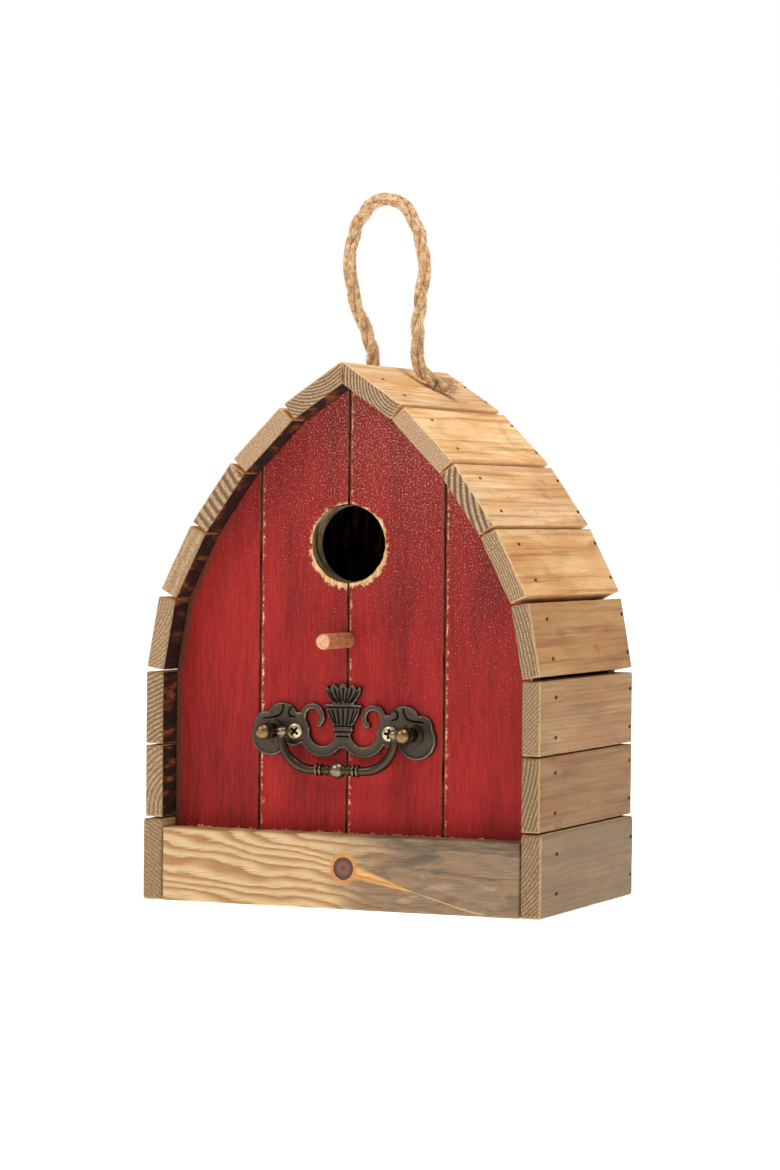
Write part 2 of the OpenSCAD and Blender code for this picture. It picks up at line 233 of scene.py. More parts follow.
def connect(tree, socket, value):
    """Links a node or socket to the socket, or sets its colour or value."""
    if isinstance(value, bpy.types.Node):
        tree.links.new(value.outputs[0], socket)
    elif isinstance(value, bpy.types.NodeSocket):
        tree.links.new(value, socket)
    else:
        socket.default_value = linear(value) if isinstance(value, str) else value


def put(tree, shader, **inputs):
    """Sets or links the shader's own sockets, with _ for a space."""
    for key, value in inputs.items():
        connect(tree, shader.inputs[key.replace("_", " ")], value)


def new_finish(name):
    """An empty material: the material, its tree and its main shader."""
    finish = bpy.data.materials.new(name)
    finish.use_nodes = True
    return finish, finish.node_tree, finish.node_tree.nodes["Principled BSDF"]


def drawn_out(tree, place, squeeze, detail, roughness=0.5, **more):
    """Noise drawn out in streaks: squeeze is cells per unit along x, y and z."""
    scaled = add(tree, "VectorMath", {0: place, 1: squeeze}, operation="MULTIPLY")
    return add(tree, "TexNoise", {"Vector": scaled, "Scale": 1.0, "Detail": detail,
                                  "Roughness": roughness, **more})


def in_mm(tree, coords):
    """The piece's own coordinates, in millimetres."""
    return add(tree, "VectorMath", {0: coords.outputs["Object"], "Scale": 1 / MM}, operation="SCALE")


print("material helpers ready")

# %% Joining a piece to the house
def dress(piece, finish, body, slot, *nodes):
    """A piece's finish, the body it moves with, its record slot (not used) and the nodes it replaces."""
    piece.data.materials.append(finish)
    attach(piece, body)
    if nodes:
        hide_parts(*nodes)


print("bodies: house, bail and cover")

# %% [markdown]
# ## Jute finish
# Raw jute is straw-brown bast fibre, spun and not dyed. The eye reads it by
# fibres of different browns lying side by side and a dull, dry surface.

# %% Jute
def jute_finish():
    finish, tree, shader = new_finish("raw jute twine")
    place = add(tree, "TexCoord").outputs["Object"]
    # fibres about 0.25 mm wide, long up the rope
    fibres = add(tree, "TexNoise", {"Vector": place, "Scale": 2600.0, "Detail": 2.0})
    clumps = add(tree, "TexNoise", {"Vector": place, "Scale": 420.0, "Detail": 3.0})
    blend = add(tree, "Math", {0: fibres, 1: clumps}, operation="ADD")
    half = add(tree, "Math", {0: blend, 1: 0.5}, operation="MULTIPLY")
    colour = add(tree, "ValToRGB", {"Fac": half}, stops=[
        (0.32, "#84603C"), (0.42, "#B98F62"), (0.5, "#D6B389"), (0.62, "#F0D8B4")])
    bump = add(tree, "Bump", {"Height": fibres, "Strength": 0.35, "Distance": 0.0002})
    put(tree, shader, Base_Color=colour, Roughness=0.85, Normal=bump)
    return finish


JUTE = jute_finish()
print("finish:", JUTE.name)

# %% [markdown]
# ## Jute rope
# The hanger is jute twine: three plies twisted together, each a bundle of coarse
# bast fibres. A plain tube would look like plastic, and a picture of rope has
# no fuzz. So each ply is a core with a ring of separate yarns wound round it,
# and loose hairs stand off the surface. The loop stands by its own stiffness.

# %% Rope route
ROUTE = [
    (17.7, 13.4, 204.2), (15.1, 9.5, 205.9), (12.6, 5.6, 207.7), (10.8, 2.7, 210.3),
    (9.7, 0.8, 214.3), (9.3, 0, 219), (9.5, 0, 224), (9.8, 0, 231),
    (10.9, 0, 239.5), (11.8, 0, 247), (12, 0, 253), (11.1, 0, 260),
    (9.1, 0, 267), (6.2, 0, 272.5), (2.3, 0, 277), (-2.4, 0, 279.2),
    (-7, 0, 279), (-11.5, 0, 276.5), (-15.4, 0, 272), (-18.2, 0, 266),
    (-19.6, 0, 259), (-20, 0, 252), (-19.4, 0, 245.5), (-17.8, 0, 239),
    (-14.8, 0, 231.5), (-12, 0, 225), (-10.3, 0, 219.5), (-9.9, 0.8, 214.3),
    (-10.9, 2.7, 210.3), (-12.6, 5.6, 207.7), (-15.1, 9.5, 205.9), (-17.7, 13.4, 204.2)]


def through(points, steps):
    """A smooth curve through the points, with that many steps between two."""
    points = [Vector(p) for p in points]
    line = []
    for i in range(len(points) - 1):
        a, b = points[max(i - 1, 0)], points[i]
        c, d = points[i + 1], points[min(i + 2, len(points) - 1)]
        for k in range(steps):
            t = k / steps
            line.append(0.5 * (2 * b + (c - a) * t + (2 * a - 5 * b + 4 * c - d) * t * t
                               + (3 * b - a - 3 * c + d) * t ** 3))
    return line + [points[-1]]


def length_of(line):
    return sum((b - a).length for a, b in zip(line, line[1:]))


rope_line = through(ROUTE, 8)
rope_length = length_of(rope_line)
print("rope length along its middle, mm:", round(rope_length, 1))

# %% Rope plies and yarns
PLIES, PLY_OFFSET, LAY = 3, 1.5, 46
YARNS, YARN_RING, YARN_R, YARN_LAY = 11, 1.05, 0.34, 17

side_pairs = carried_frames(rope_line)
travelled = [0]
for a, b in zip(rope_line, rope_line[1:]):
    travelled.append(travelled[-1] + (b - a).length)


def uneven(s, spacing, row, layer):
    """A slow wobble along the rope, that differs for each row and layer."""
    return noise.noise(Vector((s / spacing, row, layer)))


def ply_core(ply):
    """The middle of one ply, wound round the rope's middle."""
    core = []
    for at, (a, b), s in zip(rope_line, side_pairs, travelled):
        turn = math.tau * (s / LAY + ply / PLIES) + 1.5 * uneven(s, 21, 4.2, 0)
        core.append(at + (a * math.cos(turn) + b * math.sin(turn)) * PLY_OFFSET)
    return core


def yarn_rod(core, ply, yarn):
    """One yarn, wound round its ply the other way, thick and thin by turns."""
    path, radii = [], []
    for at, (a, b), s in zip(core, side_pairs, travelled):
        turn = -math.tau * (s / YARN_LAY + yarn / YARNS)
        turn += 0.5 * uneven(s, 6, yarn * 3.1, ply)
        out = YARN_RING + 0.2 * uneven(s, 4, yarn * 1.7, ply + 8)
        path.append(at + (a * math.cos(turn) + b * math.sin(turn)) * out)
        radii.append(YARN_R * (1 + 0.35 * uneven(s, 3, yarn, ply + 3)))
    return rod(path, radii, 6)


plies = [ply_core(ply) for ply in range(PLIES)]
rope_plies = []
for ply, core in enumerate(plies):
    rope_plies.append(rod(core, [YARN_RING - 0.1] * len(core), 6))
    rope_plies += [yarn_rod(core, ply, yarn) for yarn in range(YARNS)]
print("plies:", PLIES, "yarns in each:", YARNS)

# %% Loose hairs and frayed ends
HAIRS, FRAY, TUFT = 1000, 150, 420
TUFT_REACH = 11
chance = random.Random(5)


def loose_hair():
    """One fibre that lifts off the rope, at a random place on it."""
    i = chance.randrange(4, len(rope_line) - 4)
    a, b = side_pairs[i]
    turn = chance.uniform(0, math.tau)
    out = a * math.cos(turn) + b * math.sin(turn)
    ahead = (rope_line[i + 1] - rope_line[i]).normalized() * chance.choice((-1, 1))
    at = chance.choice(plies)[i] + out * (YARN_RING + 0.1)
    reach = chance.uniform(0.8, 3.2)
    lift = chance.uniform(0.1, 0.55)
    bend = a.cross(out) * chance.uniform(-0.3, 0.3)
    path = [at, at + (ahead * 0.5 + out * lift * 0.35) * reach,
            at + (ahead + out * lift + bend) * reach]
    return rod(path, [0.07, 0.06, 0.03], 3)


def any_direction():
    return Vector([chance.uniform(-1, 1) for _ in range(3)])


def end_fibre(inner, outward):
    """A fibre that spreads from the cut end."""
    core = chance.choice(plies)
    spread = any_direction()
    spread.z = max(spread.z, -0.2)
    start = core[inner] + spread * 0.8
    reach = chance.uniform(2.6, 5.4)
    path = [start, start + (outward + spread * 0.25) * reach * 0.55,
            start + (outward + spread * 0.6) * reach]
    return rod(path, [0.2, 0.17, 0.07], 4)


def tuft_fibre(end, outward):
    """The cut plies bush out over the last 9 mm and hide the staple."""
    back = chance.randrange(0, TUFT_REACH)
    i = back if end == 0 else len(rope_line) - 1 - back
    out = any_direction().normalized()
    out.z = abs(out.z)
    start = chance.choice(plies)[i] + out * chance.uniform(0.6, 1.3)
    reach = chance.uniform(1.2, 2.9)
    path = [start, start + (outward * 0.6 + out * 0.5) * reach * 0.5,
            start + (outward * 0.6 + out * 0.75) * reach]
    return rod(path, [0.17, 0.14, 0.06], 4)


rope_fuzz = [loose_hair() for _ in range(HAIRS)]
for end, inner in ((0, 3), (-1, -4)):
    outward = (rope_line[end] - rope_line[inner]).normalized()
    rope_fuzz += [end_fibre(inner, outward) for _ in range(FRAY)]
    rope_fuzz += [tuft_fibre(end, outward) for _ in range(TUFT)]
print("loose fibres:", len(rope_fuzz))

# %% Build the rope
rope = make_piece("hanger_rope_twisted", *together(rope_plies), crease=80)
fuzz = make_piece("hanger_rope_fuzz", *together(rope_fuzz), crease=80)
dress(rope, JUTE, "house", "jute_rope", "hanger_rope")
dress(fuzz, JUTE, "house", "jute_rope")
print("rope points:", len(rope.data.vertices), "fuzz points:", len(fuzz.data.vertices))

# %% [markdown]
# ## Boards
# A planed board has no sharp edges: sanding rounds them by about a millimetre,
# and more on the ends. Each board is drawn as its end outline, taken from the
# CAD solid, with a small arc at each corner. The outline is swept from end to
# end through rings a few millimetres apart, so that the faces can be made
# slightly uneven. All of it goes inwards, so no board outgrows its solid.

# %% Outlines from the CAD solids
NEST = Vector((0, 100))


def hull(points):
    """The convex outline round 2D points, anticlockwise."""
    points = sorted({(round(p[0], 2), round(p[1], 2)) for p in points})
    halves = []
    for row in (points, points[::-1]):
        chain = []
        for p in row:
            while len(chain) > 1:
                a, b = chain[-2], chain[-1]
                if (b[0] - a[0]) * (p[1] - a[1]) - (b[1] - a[1]) * (p[0] - a[0]) > 0.02:
                    break
                chain.pop()
            chain.append(p)
        halves += chain[:-1]
    return real_corners([Vector(p) for p in halves])


def real_corners(outline, slack=0.08):
    """Drops every point that lies on the line between its neighbours."""
    for i, p in enumerate(outline):
        a, b = outline[i - 1], outline[(i + 1) % len(outline)]
        across = Vector((a.y - b.y, b.x - a.x)).normalized()
        if abs((p - a).dot(across)) < slack:
            return real_corners(outline[:i] + outline[i + 1:], slack)
    return outline


def node_outline(node):
    """A node's end outline in X and Z, and where it starts and ends in Y, in mm."""
    points = [v.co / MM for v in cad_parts[node].data.vertices]
    low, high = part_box(node)
    return hull([(p.x, p.z) for p in points]), low.y / MM, high.y / MM


for node in ("left_slat_7", "right_slat_4", "front_board_1"):
    outline, start, end = node_outline(node)
    print(node, [tuple(round(c, 1) for c in p) for p in outline], round(start, 1), round(end, 1))

# %% Sweeping a board
RING_GAP = 6.0
SIDE_GAP = 4.0
EASE_TURNS = [math.radians(a) for a in (0, 22, 45, 67, 90)]


def inward_normal(a, b):
    return Vector((a.y - b.y, b.x - a.x)).normalized()


def shrunk(outline, inset):
    """A convex outline with every side moved in."""
    moved = []
    for i, p in enumerate(outline):
        one = inward_normal(outline[i - 1], p)
        two = inward_normal(p, outline[(i + 1) % len(outline)])
        moved.append(p + (one + two) / (1 + one.dot(two)) * inset)
    return moved


def rounded(outline, radius, counts):
    """The outline with an arc at each corner and each side in counts pieces."""
    arcs = []
    for i, corner in enumerate(outline):
        to_last, to_next = outline[i - 1] - corner, outline[(i + 1) % len(outline)] - corner
        half = to_last.angle(to_next) / 2
        reach = min(radius / math.tan(half), 0.4 * min(to_last.length, to_next.length))
        a, b = corner + to_last.normalized() * reach, corner + to_next.normalized() * reach
        arcs.append([a * (1 - t) ** 2 + corner * 2 * t * (1 - t) + b * t * t
                     for t in (0, 0.25, 0.5, 0.75, 1)])
    line = []
    for i, arc in enumerate(arcs):
        line += arc
        gap = arcs[(i + 1) % len(arcs)][0] - arc[-1]
        line += [arc[-1] + gap * k / counts[i] for k in range(1, counts[i])]
    return line


def board_rings(start, end, ease):
    """Each ring's place along the board, and how far in it lies there."""
    rings = [(start, ease + 0.35)]
    rings += [(start + ease * (1 - math.cos(a)), ease * (1 - math.sin(a))) for a in EASE_TURNS]
    full = end - start - 2 * ease
    middle = max(1, round(full / RING_GAP))
    rings += [(start + ease + full * k / middle, 0) for k in range(1, middle)]
    return rings + [(start + end - y, inset) for y, inset in rings[5::-1]]


def board(name, outline, start, end, corner=0.9, ease=1.1, rough=0.22, seed=0.0):
    """A board swept along Y, with rounded edges and eased ends."""
    sides = [(outline[(i + 1) % len(outline)] - p).length for i, p in enumerate(outline)]
    counts = [max(1, round(side / SIDE_GAP)) for side in sides]
    rings = board_rings(start, end, ease)
    points = []
    for y, inset in rings:
        line = rounded(shrunk(outline, inset), max(corner - inset, 0.1), counts)
        for i, at in enumerate(line):
            turn = inward_normal(line[i - 1], line[(i + 1) % len(line)])
            dent = rough * abs(noise.noise(Vector((at.x / 9, y / 14, at.y / 9 + seed * 7))))
            dent = 0 if y in (start, end) else dent
            points.append(Vector((at.x + turn.x * dent, y, at.y + turn.y * dent)))
    return make_piece(name, points, ring_faces(len(rings), len(line)))


print("board maker ready")

# %% [markdown]
# ## Grain that goes right through
# Pine rings are cylinders round the tree's heart, the pith. A saw cuts them at
# an angle, so one set of rings draws the arcs on a board's end and the long
# figure on its faces. So each board stores, for every point, how far along the
# grain it is and how far across from that board's own pith. The finish then
# draws one solid pattern, and end and face agree at every edge.

# %% Storing the grain in each board
def store(piece, name, values, kind="FLOAT_VECTOR", domain="POINT"):
    """Writes one value a point or a face into the mesh."""
    old = piece.data.attributes.get(name)
    if old:
        piece.data.attributes.remove(old)
    layer = piece.data.attributes.new(name, kind, domain)
    key = "value" if kind == "FLOAT" else "vector"
    layer.data.foreach_set(key, np.asarray(values, dtype=np.float32).ravel())


def set_grain(piece, along, across, pith, look, tone):
    """along and across are directions, and pith is a point on the heart line, mm.

    look is (ring width mm, greyness, saw marks) and tone is (brightness, the
    board's own tone with painted light in it, strength of the rings on the ends,
    knots)."""
    along, across = Vector(along).normalized(), Vector(across).normalized()
    through_it = along.cross(across)
    points = [v.co / MM - Vector(pith) for v in piece.data.vertices]
    store(piece, "grain", [(p.dot(along), p.dot(across), p.dot(through_it)) for p in points])
    store(piece, "look", [look] * len(points))
    store(piece, "tone", [tone] * len(points))


print("grain can be stored")

# %% [markdown]
# ## Sanded pine
# The slats are reclaimed pine, sanded and left bare: honey and cream with thin
# brown latewood lines, small knots and a grey cast on the lower boards. On the
# ends the soft earlywood has crushed and darkened, and the hard latewood
# stands out pale, so rings read far more strongly there. Sanding leaves a
# cream arris between end and face.
#
# The figure is one set of sockets, and each cell below turns them into one
# thing that the eye sees: the faces, the ends, the torch marks with their
# painted shade and the relief.

# %% Pine figure
def stored(tree, name):
    return add(tree, "Attribute", attribute_name=name).outputs["Vector"]


def year_rings(tree, grain, ring_width):
    """0 to 1 through each year's growth, from the pith outwards."""
    # the trunk wanders by a few mm over a board's length
    wander = drawn_out(tree, grain, (0.012, 0.028, 0.028), 2.0)
    offset = add(tree, "VectorMath", {0: wander.outputs["Color"], 1: (0.5, 0.5, 0.5)}, operation="SUBTRACT")
    far = add(tree, "VectorMath", {0: offset, "Scale": 4.0}, operation="SCALE")
    moved = add(tree, "VectorMath", {0: grain, 1: far}, operation="ADD")
    # small ripples along each ring
    ripple = drawn_out(tree, grain, (0.05, 0.45, 0.45), 3.0)
    flat = add(tree, "VectorMath", {0: moved, 1: (0.0, 1.0, 1.0)}, operation="MULTIPLY")
    radius = add(tree, "VectorMath", {0: flat}, operation="LENGTH").outputs["Value"]
    years = add(tree, "Math", {0: radius, 1: ring_width}, operation="DIVIDE")
    rippled = add(tree, "Math", {0: ripple, 1: 0.22, 2: years}, operation="MULTIPLY_ADD")
    return add(tree, "Math", {0: rippled}, operation="FRACT")


def pine_figure(tree):
    """The solid pattern of pine: sockets for the finish to colour."""
    grain = stored(tree, "grain")
    look = add(tree, "SeparateXYZ", {0: stored(tree, "look")}).outputs
    tone = add(tree, "SeparateXYZ", {0: stored(tree, "tone")}).outputs
    year = year_rings(tree, grain, look["X"])
    return {
        "grain": grain, "grey": look["Y"], "saw": look["Z"],
        # the first tone value is brightness: the board's own tone with painted light in it
        "bright": tone["X"], "bold": tone["Y"], "knots": tone["Z"],
        "late": add(tree, "ValToRGB", {"Fac": year}, stops=[
            (0.0, 0.12), (0.35, 0.0), (0.62, 0.3), (0.84, 1.0), (0.94, 0.85), (1.0, 0.12)]),
        # on a sawn end the dark part of each ring is far wider
        "end_rings": add(tree, "ValToRGB", {"Fac": year}, stops=[
            (0.0, 0.55), (0.12, 0.05), (0.4, 0.0), (0.58, 0.75), (0.9, 1.0), (1.0, 0.55)]),
        # fibres 0.3 mm across and 8 mm long
        "fibre": drawn_out(tree, grain, (0.07, 3.0, 3.0), 3.0, 0.65),
        # bands of growth 1.5 mm wide that run nearly the whole length
        "band": drawn_out(tree, grain, (0.01, 0.55, 0.55), 2.0),
        "patch": drawn_out(tree, grain, (0.018, 0.09, 0.09), 2.0),
        # a coarse saw leaves ridges across the grain, 1 mm apart
        "ridges": add(tree, "TexWave", {"Vector": grain, "Scale": 0.31, "Distortion": 1.6, "Detail": 2.0,
                                        "Detail Scale": 0.25}, wave_type="BANDS", bands_direction="X"),
        "facing": add(tree, "SeparateXYZ", {0: add(tree, "TexCoord").outputs["Normal"]}),
    }


print("pine figure ready")

# %% Pine faces
def bare_pine(tree, pine, earlywood, latewood, stain):
    """Colour of bare pine on its long faces."""
    patch = add(tree, "ValToRGB", {"Fac": pine["patch"]}, stops=[(0.36, 0.0), (0.64, 1.0)])
    ground = add(tree, "MixRGB", {"Fac": patch, "Color1": earlywood[0], "Color2": earlywood[1]})
    lines = add(tree, "Math", {0: pine["late"], 1: 0.3}, operation="MULTIPLY")
    lined = add(tree, "MixRGB", {"Fac": lines, "Color1": ground, "Color2": latewood})
    streak = add(tree, "ValToRGB", {"Fac": pine["fibre"]}, stops=[(0.3, 0.72), (0.5, 0.95), (0.7, 1.06)])
    fibred = add(tree, "MixRGB", {"Fac": 0.85, "Color1": lined, "Color2": streak}, blend_type="MULTIPLY")
    growth = add(tree, "ValToRGB", {"Fac": pine["band"]}, stops=[
        (0.34, "#D0A472"), (0.5, "#FFF4E2"), (0.7, "#FFFFFF")])
    banded = add(tree, "MixRGB", {"Fac": 0.7, "Color1": fibred, "Color2": growth}, blend_type="MULTIPLY")
    worn_ridges = add(tree, "Math", {0: pine["ridges"], 1: pine["saw"]}, operation="MULTIPLY")
    darker = add(tree, "Math", {0: worn_ridges, 1: 0.6}, operation="MULTIPLY")
    sawn = add(tree, "MixRGB", {"Fac": darker, "Color1": banded, "Color2": stain})
    return aged(tree, pine, sawn, stain)


def aged(tree, pine, colour, stain):
    """Knots, dirt and weather, and each board's brightness, which holds its own tone and painted light."""
    # soft brown clouds drawn out along the grain, 6 by 2 mm
    dirt = drawn_out(tree, pine["grain"], (0.05, 0.16, 0.16), 4.0, 0.6)
    spots = add(tree, "ValToRGB", {"Fac": dirt}, stops=[(0.58, 0.0), (0.74, 1.0)])
    amount = add(tree, "Math", {0: spots, 1: pine["knots"]}, operation="MULTIPLY")
    dirty = add(tree, "MixRGB", {"Fac": amount, "Color1": colour, "Color2": stain})
    # weather turns the surface grey in long clouds
    cast = drawn_out(tree, pine["grain"], (0.03, 0.12, 0.12), 5.0, 0.62)
    where = add(tree, "ValToRGB", {"Fac": cast}, stops=[(0.3, 0.2), (0.62, 1.0)])
    greyed = add(tree, "Math", {0: where, 1: pine["grey"]}, operation="MULTIPLY")
    grey = add(tree, "MixRGB", {"Fac": greyed, "Color1": dirty, "Color2": "#86725A"})
    # the brightness is each board's own tone with painted light: high slats are painted paler, low ones
    # darker; paler boards are also creamier, and darker ones browner
    green = add(tree, "Math", {0: pine["bright"], 1: 1.25}, operation="POWER")
    blue = add(tree, "Math", {0: pine["bright"], 1: 1.8}, operation="POWER")
    lit = add(tree, "CombineXYZ", {0: pine["bright"], 1: green, 2: blue})
    return add(tree, "MixRGB", {"Fac": 1.0, "Color1": grey, "Color2": lit}, blend_type="MULTIPLY")


print("pine faces ready")

# %% Pine ends
def end_brightness(tree, pine):
    """The ends follow the board's brightness, painted light included, less far than its faces do."""
    weathered = add(tree, "Math", {0: pine["grey"], 1: -0.28, 2: 0.62}, operation="MULTIPLY_ADD")
    half = add(tree, "Math", {0: pine["bright"], 1: 0.4, 2: weathered}, operation="MULTIPLY_ADD")
    half_blue = add(tree, "Math", {0: half, 1: 1.4}, operation="POWER")
    return add(tree, "CombineXYZ", {0: half, 1: half, 2: half_blue})


def end_border(tree, pine, speck, end_axis):
    """How far a point has turned to the end; above 1 it is on the sawn end."""
    # the border is ragged; sanding went over the outer edges only
    turn = add(tree, "Math", {0: pine["facing"].outputs[end_axis]}, operation="ABSOLUTE")
    coords = add(tree, "TexCoord")
    from_nest = add(tree, "VectorMath", {0: coords.outputs["Object"], 1: (0, 0, NEST.y * MM)},
                    operation="SUBTRACT")
    flat = add(tree, "VectorMath", {0: from_nest, 1: (1.0, 0.0, 1.0)}, operation="MULTIPLY")
    away = add(tree, "VectorMath", {0: flat}, operation="NORMALIZE")
    outer = add(tree, "VectorMath", {0: coords.outputs["Normal"], 1: away}, operation="DOT_PRODUCT")
    sheltered = add(tree, "MapRange", {"Value": outer.outputs["Value"], "From Min": 0.3,
                                       "From Max": -0.1, "To Max": 0.42})
    turned_in = add(tree, "Math", {0: turn, 1: sheltered.outputs["Result"]}, operation="ADD")
    return add(tree, "Math", {0: speck, 1: 0.3, 2: turned_in}, operation="MULTIPLY_ADD")


def pine_ends(tree, pine, face, end_axis):
    """The face colour, with end grain and its sanded arris added."""
    # pores and crushed fibres, drawn 0.6 mm apart where the real ones are 0.1
    speck = drawn_out(tree, pine["grain"], (0.3, 1.8, 1.8), 2.0, 0.7)
    specks = add(tree, "ValToRGB", {"Fac": speck}, stops=[(0.36, 0.0), (0.62, 1.0)])
    pale = add(tree, "MixRGB", {"Fac": specks, "Color1": "#8C6C4C", "Color2": "#D2B088"})
    dark = add(tree, "MixRGB", {"Fac": specks, "Color1": "#3A2A1C", "Color2": "#75593E"})
    patchy = add(tree, "Math", {0: specks, 1: 0.35, 2: 0.8}, operation="MULTIPLY_ADD")
    broken = add(tree, "Math", {0: pine["end_rings"], 1: patchy}, operation="MULTIPLY")
    rings = add(tree, "Math", {0: broken, 1: pine["bold"]}, operation="MULTIPLY", use_clamp=True)
    plain_end = add(tree, "MixRGB", {"Fac": rings, "Color1": pale, "Color2": dark})
    end_tone = end_brightness(tree, pine)
    grain_end = add(tree, "MixRGB", {"Fac": 1.0, "Color1": plain_end, "Color2": end_tone},
                    blend_type="MULTIPLY")
    ragged = end_border(tree, pine, speck, end_axis)
    arris = add(tree, "ValToRGB", {"Fac": ragged}, stops=[(0.3, 0.0), (0.5, 1.0)])
    on_end = add(tree, "MapRange", {"Value": ragged, "From Min": 1.0, "From Max": 1.1}).outputs["Result"]
    raw = add(tree, "MixRGB", {"Fac": specks, "Color1": "#C09A6A", "Color2": "#E2C799"})
    sanded = add(tree, "MixRGB", {"Fac": 0.8, "Color1": raw, "Color2": end_tone}, blend_type="MULTIPLY")
    spots = add(tree, "ValToRGB", {"Fac": pine["fibre"]}, stops=[(0.38, 0.15), (0.55, 0.9)])
    rubbed = add(tree, "Math", {0: arris, 1: spots}, operation="MULTIPLY")
    cream = add(tree, "MixRGB", {"Fac": rubbed, "Color1": face, "Color2": sanded})
    return add(tree, "MixRGB", {"Fac": on_end, "Color1": cream, "Color2": grain_end}), on_end, specks


print("pine ends ready")

# %% Torch marks with painted shade, relief and the four pines
def torched_and_shaded(tree, pine, colour):
    """Torch marks and painted shade on the faces that look into the recess."""
    # these faces sit in the recess and inside the house: the char colour is torch marks and painted shade
    recess = add(tree, "Attribute", attribute_name="torch_and_shade").outputs["Fac"]
    flame = drawn_out(tree, pine["grain"], (0.07, 0.24, 0.24), 4.0, 0.6)
    char_and_shade = add(tree, "ValToRGB", {"Fac": flame}, stops=[
        (0.36, "#8A4C20"), (0.44, "#4C2713"), (0.5, "#1E1009"), (0.64, "#0D0705")])
    return add(tree, "MixRGB", {"Fac": recess, "Color1": colour, "Color2": char_and_shade})


def pine_relief(tree, pine, on_end, specks):
    """Fibres, raised latewood, ridged ends and saw marks as one bump."""
    fibres = add(tree, "Math", {0: pine["fibre"], 1: 0.5}, operation="MULTIPLY")
    raised = add(tree, "Math", {0: pine["late"], 1: 0.35, 2: fibres}, operation="MULTIPLY_ADD")
    rough_end = add(tree, "Math", {0: specks, 1: 0.8, 2: raised}, operation="MULTIPLY_ADD")
    height = add(tree, "MixRGB", {"Fac": on_end, "Color1": raised, "Color2": rough_end})
    sawn = add(tree, "Math", {0: pine["ridges"], 1: pine["saw"]}, operation="MULTIPLY")
    total = add(tree, "Math", {0: height, 1: sawn}, operation="ADD")
    return add(tree, "Bump", {"Height": total, "Strength": 0.55, "Distance": 0.00025})


def sanded_pine(name, earlywood, latewood="#A8713C", stain="#7A5230", roughness=0.62, end_axis="Y"):
    """Bare pine; end_axis is the way the board's sawn ends face."""
    finish, tree, shader = new_finish(name)
    pine = pine_figure(tree)
    face = bare_pine(tree, pine, earlywood, latewood, stain)
    colour, on_end, specks = pine_ends(tree, pine, face, end_axis)
    put(tree, shader, Base_Color=torched_and_shaded(tree, pine, colour), Roughness=roughness,
        Normal=pine_relief(tree, pine, on_end, specks))
    return finish


SLAT_PINE = sanded_pine("sanded pine slat", ("#EBC894", "#D8A466"))
BASE_PINE = sanded_pine("weathered pine base", ("#C9A97C", "#A98A62"), "#7C6040", "#5E4A33")
BACK_PINE = sanded_pine("rough sawn back pine", ("#DDBB88", "#C69A63"), end_axis="Z")
FLOOR_PINE = sanded_pine("rough sawn floor pine", ("#DDBB88", "#C69A63"))
print("pine finishes:", [m.name for m in (SLAT_PINE, BASE_PINE, BACK_PINE, FLOOR_PINE)])

# %% [markdown]
# ## Slats
# Each slat gets its own pith, ring width and tone, so no two look cut from one
# stick. The slats low on the wall are greyer and keep their saw marks; the top
# ones are cleaner. Each slat's brightness also holds painted light: the top ones
# are painted paler and warmer, as if lit from above, and the low ones darker.
# Two brads at each panel sit in small pockets below the surface.

# %% The slats' own frames and pockets
BRAD_INSET = 6.5
FRONT_ROW, BACK_ROW, STAGGER = -37.5, 50.0, 1.2
POCKET_LONG, POCKET_WIDE, POCKET_DEEP = 2.9, 1.4, 0.75
UPWARDS, LENGTHWISE = Vector((0, 0, 1)), Vector((0, 1, 0))


def slat_frame(outline):
    """Inner lower corner, direction up the slat, direction out, and inner length."""
    edges = [(outline[i], outline[(i + 1) % len(outline)]) for i in range(len(outline))]
    edges.sort(key=lambda e: (e[0] - e[1]).length, reverse=True)
    inner = min(edges[:2], key=lambda e: ((e[0] + e[1]) / 2 - NEST).length)
    low, high = sorted(inner, key=lambda p: p.y)
    up = (high - low).normalized()
    out = Vector((up.y, -up.x))
    if out.dot(low - NEST) < 0:
        out = -out
    return low, up, out, (high - low).length


def pocket_cutter(places):
    """Small slanting boxes at (point, out, across) places, as one cutter."""
    parts = []
    for at, out, across in places:
        corners = [at + LENGTHWISE * (sx * POCKET_LONG / 2 + 0.25 * sz) + across * sz * POCKET_WIDE / 2
                   + out * d for d in (-POCKET_DEEP, 0.6) for sx, sz in CORNER_SIGNS]
        parts.append((corners, BOX_FACES))
    return make_piece("pocket cutter", *together(parts))


def in_space(flat, y=0.0):
    return Vector((flat.x, y, flat.y))


print("pockets, mm:", (POCKET_LONG, POCKET_WIDE, POCKET_DEEP))

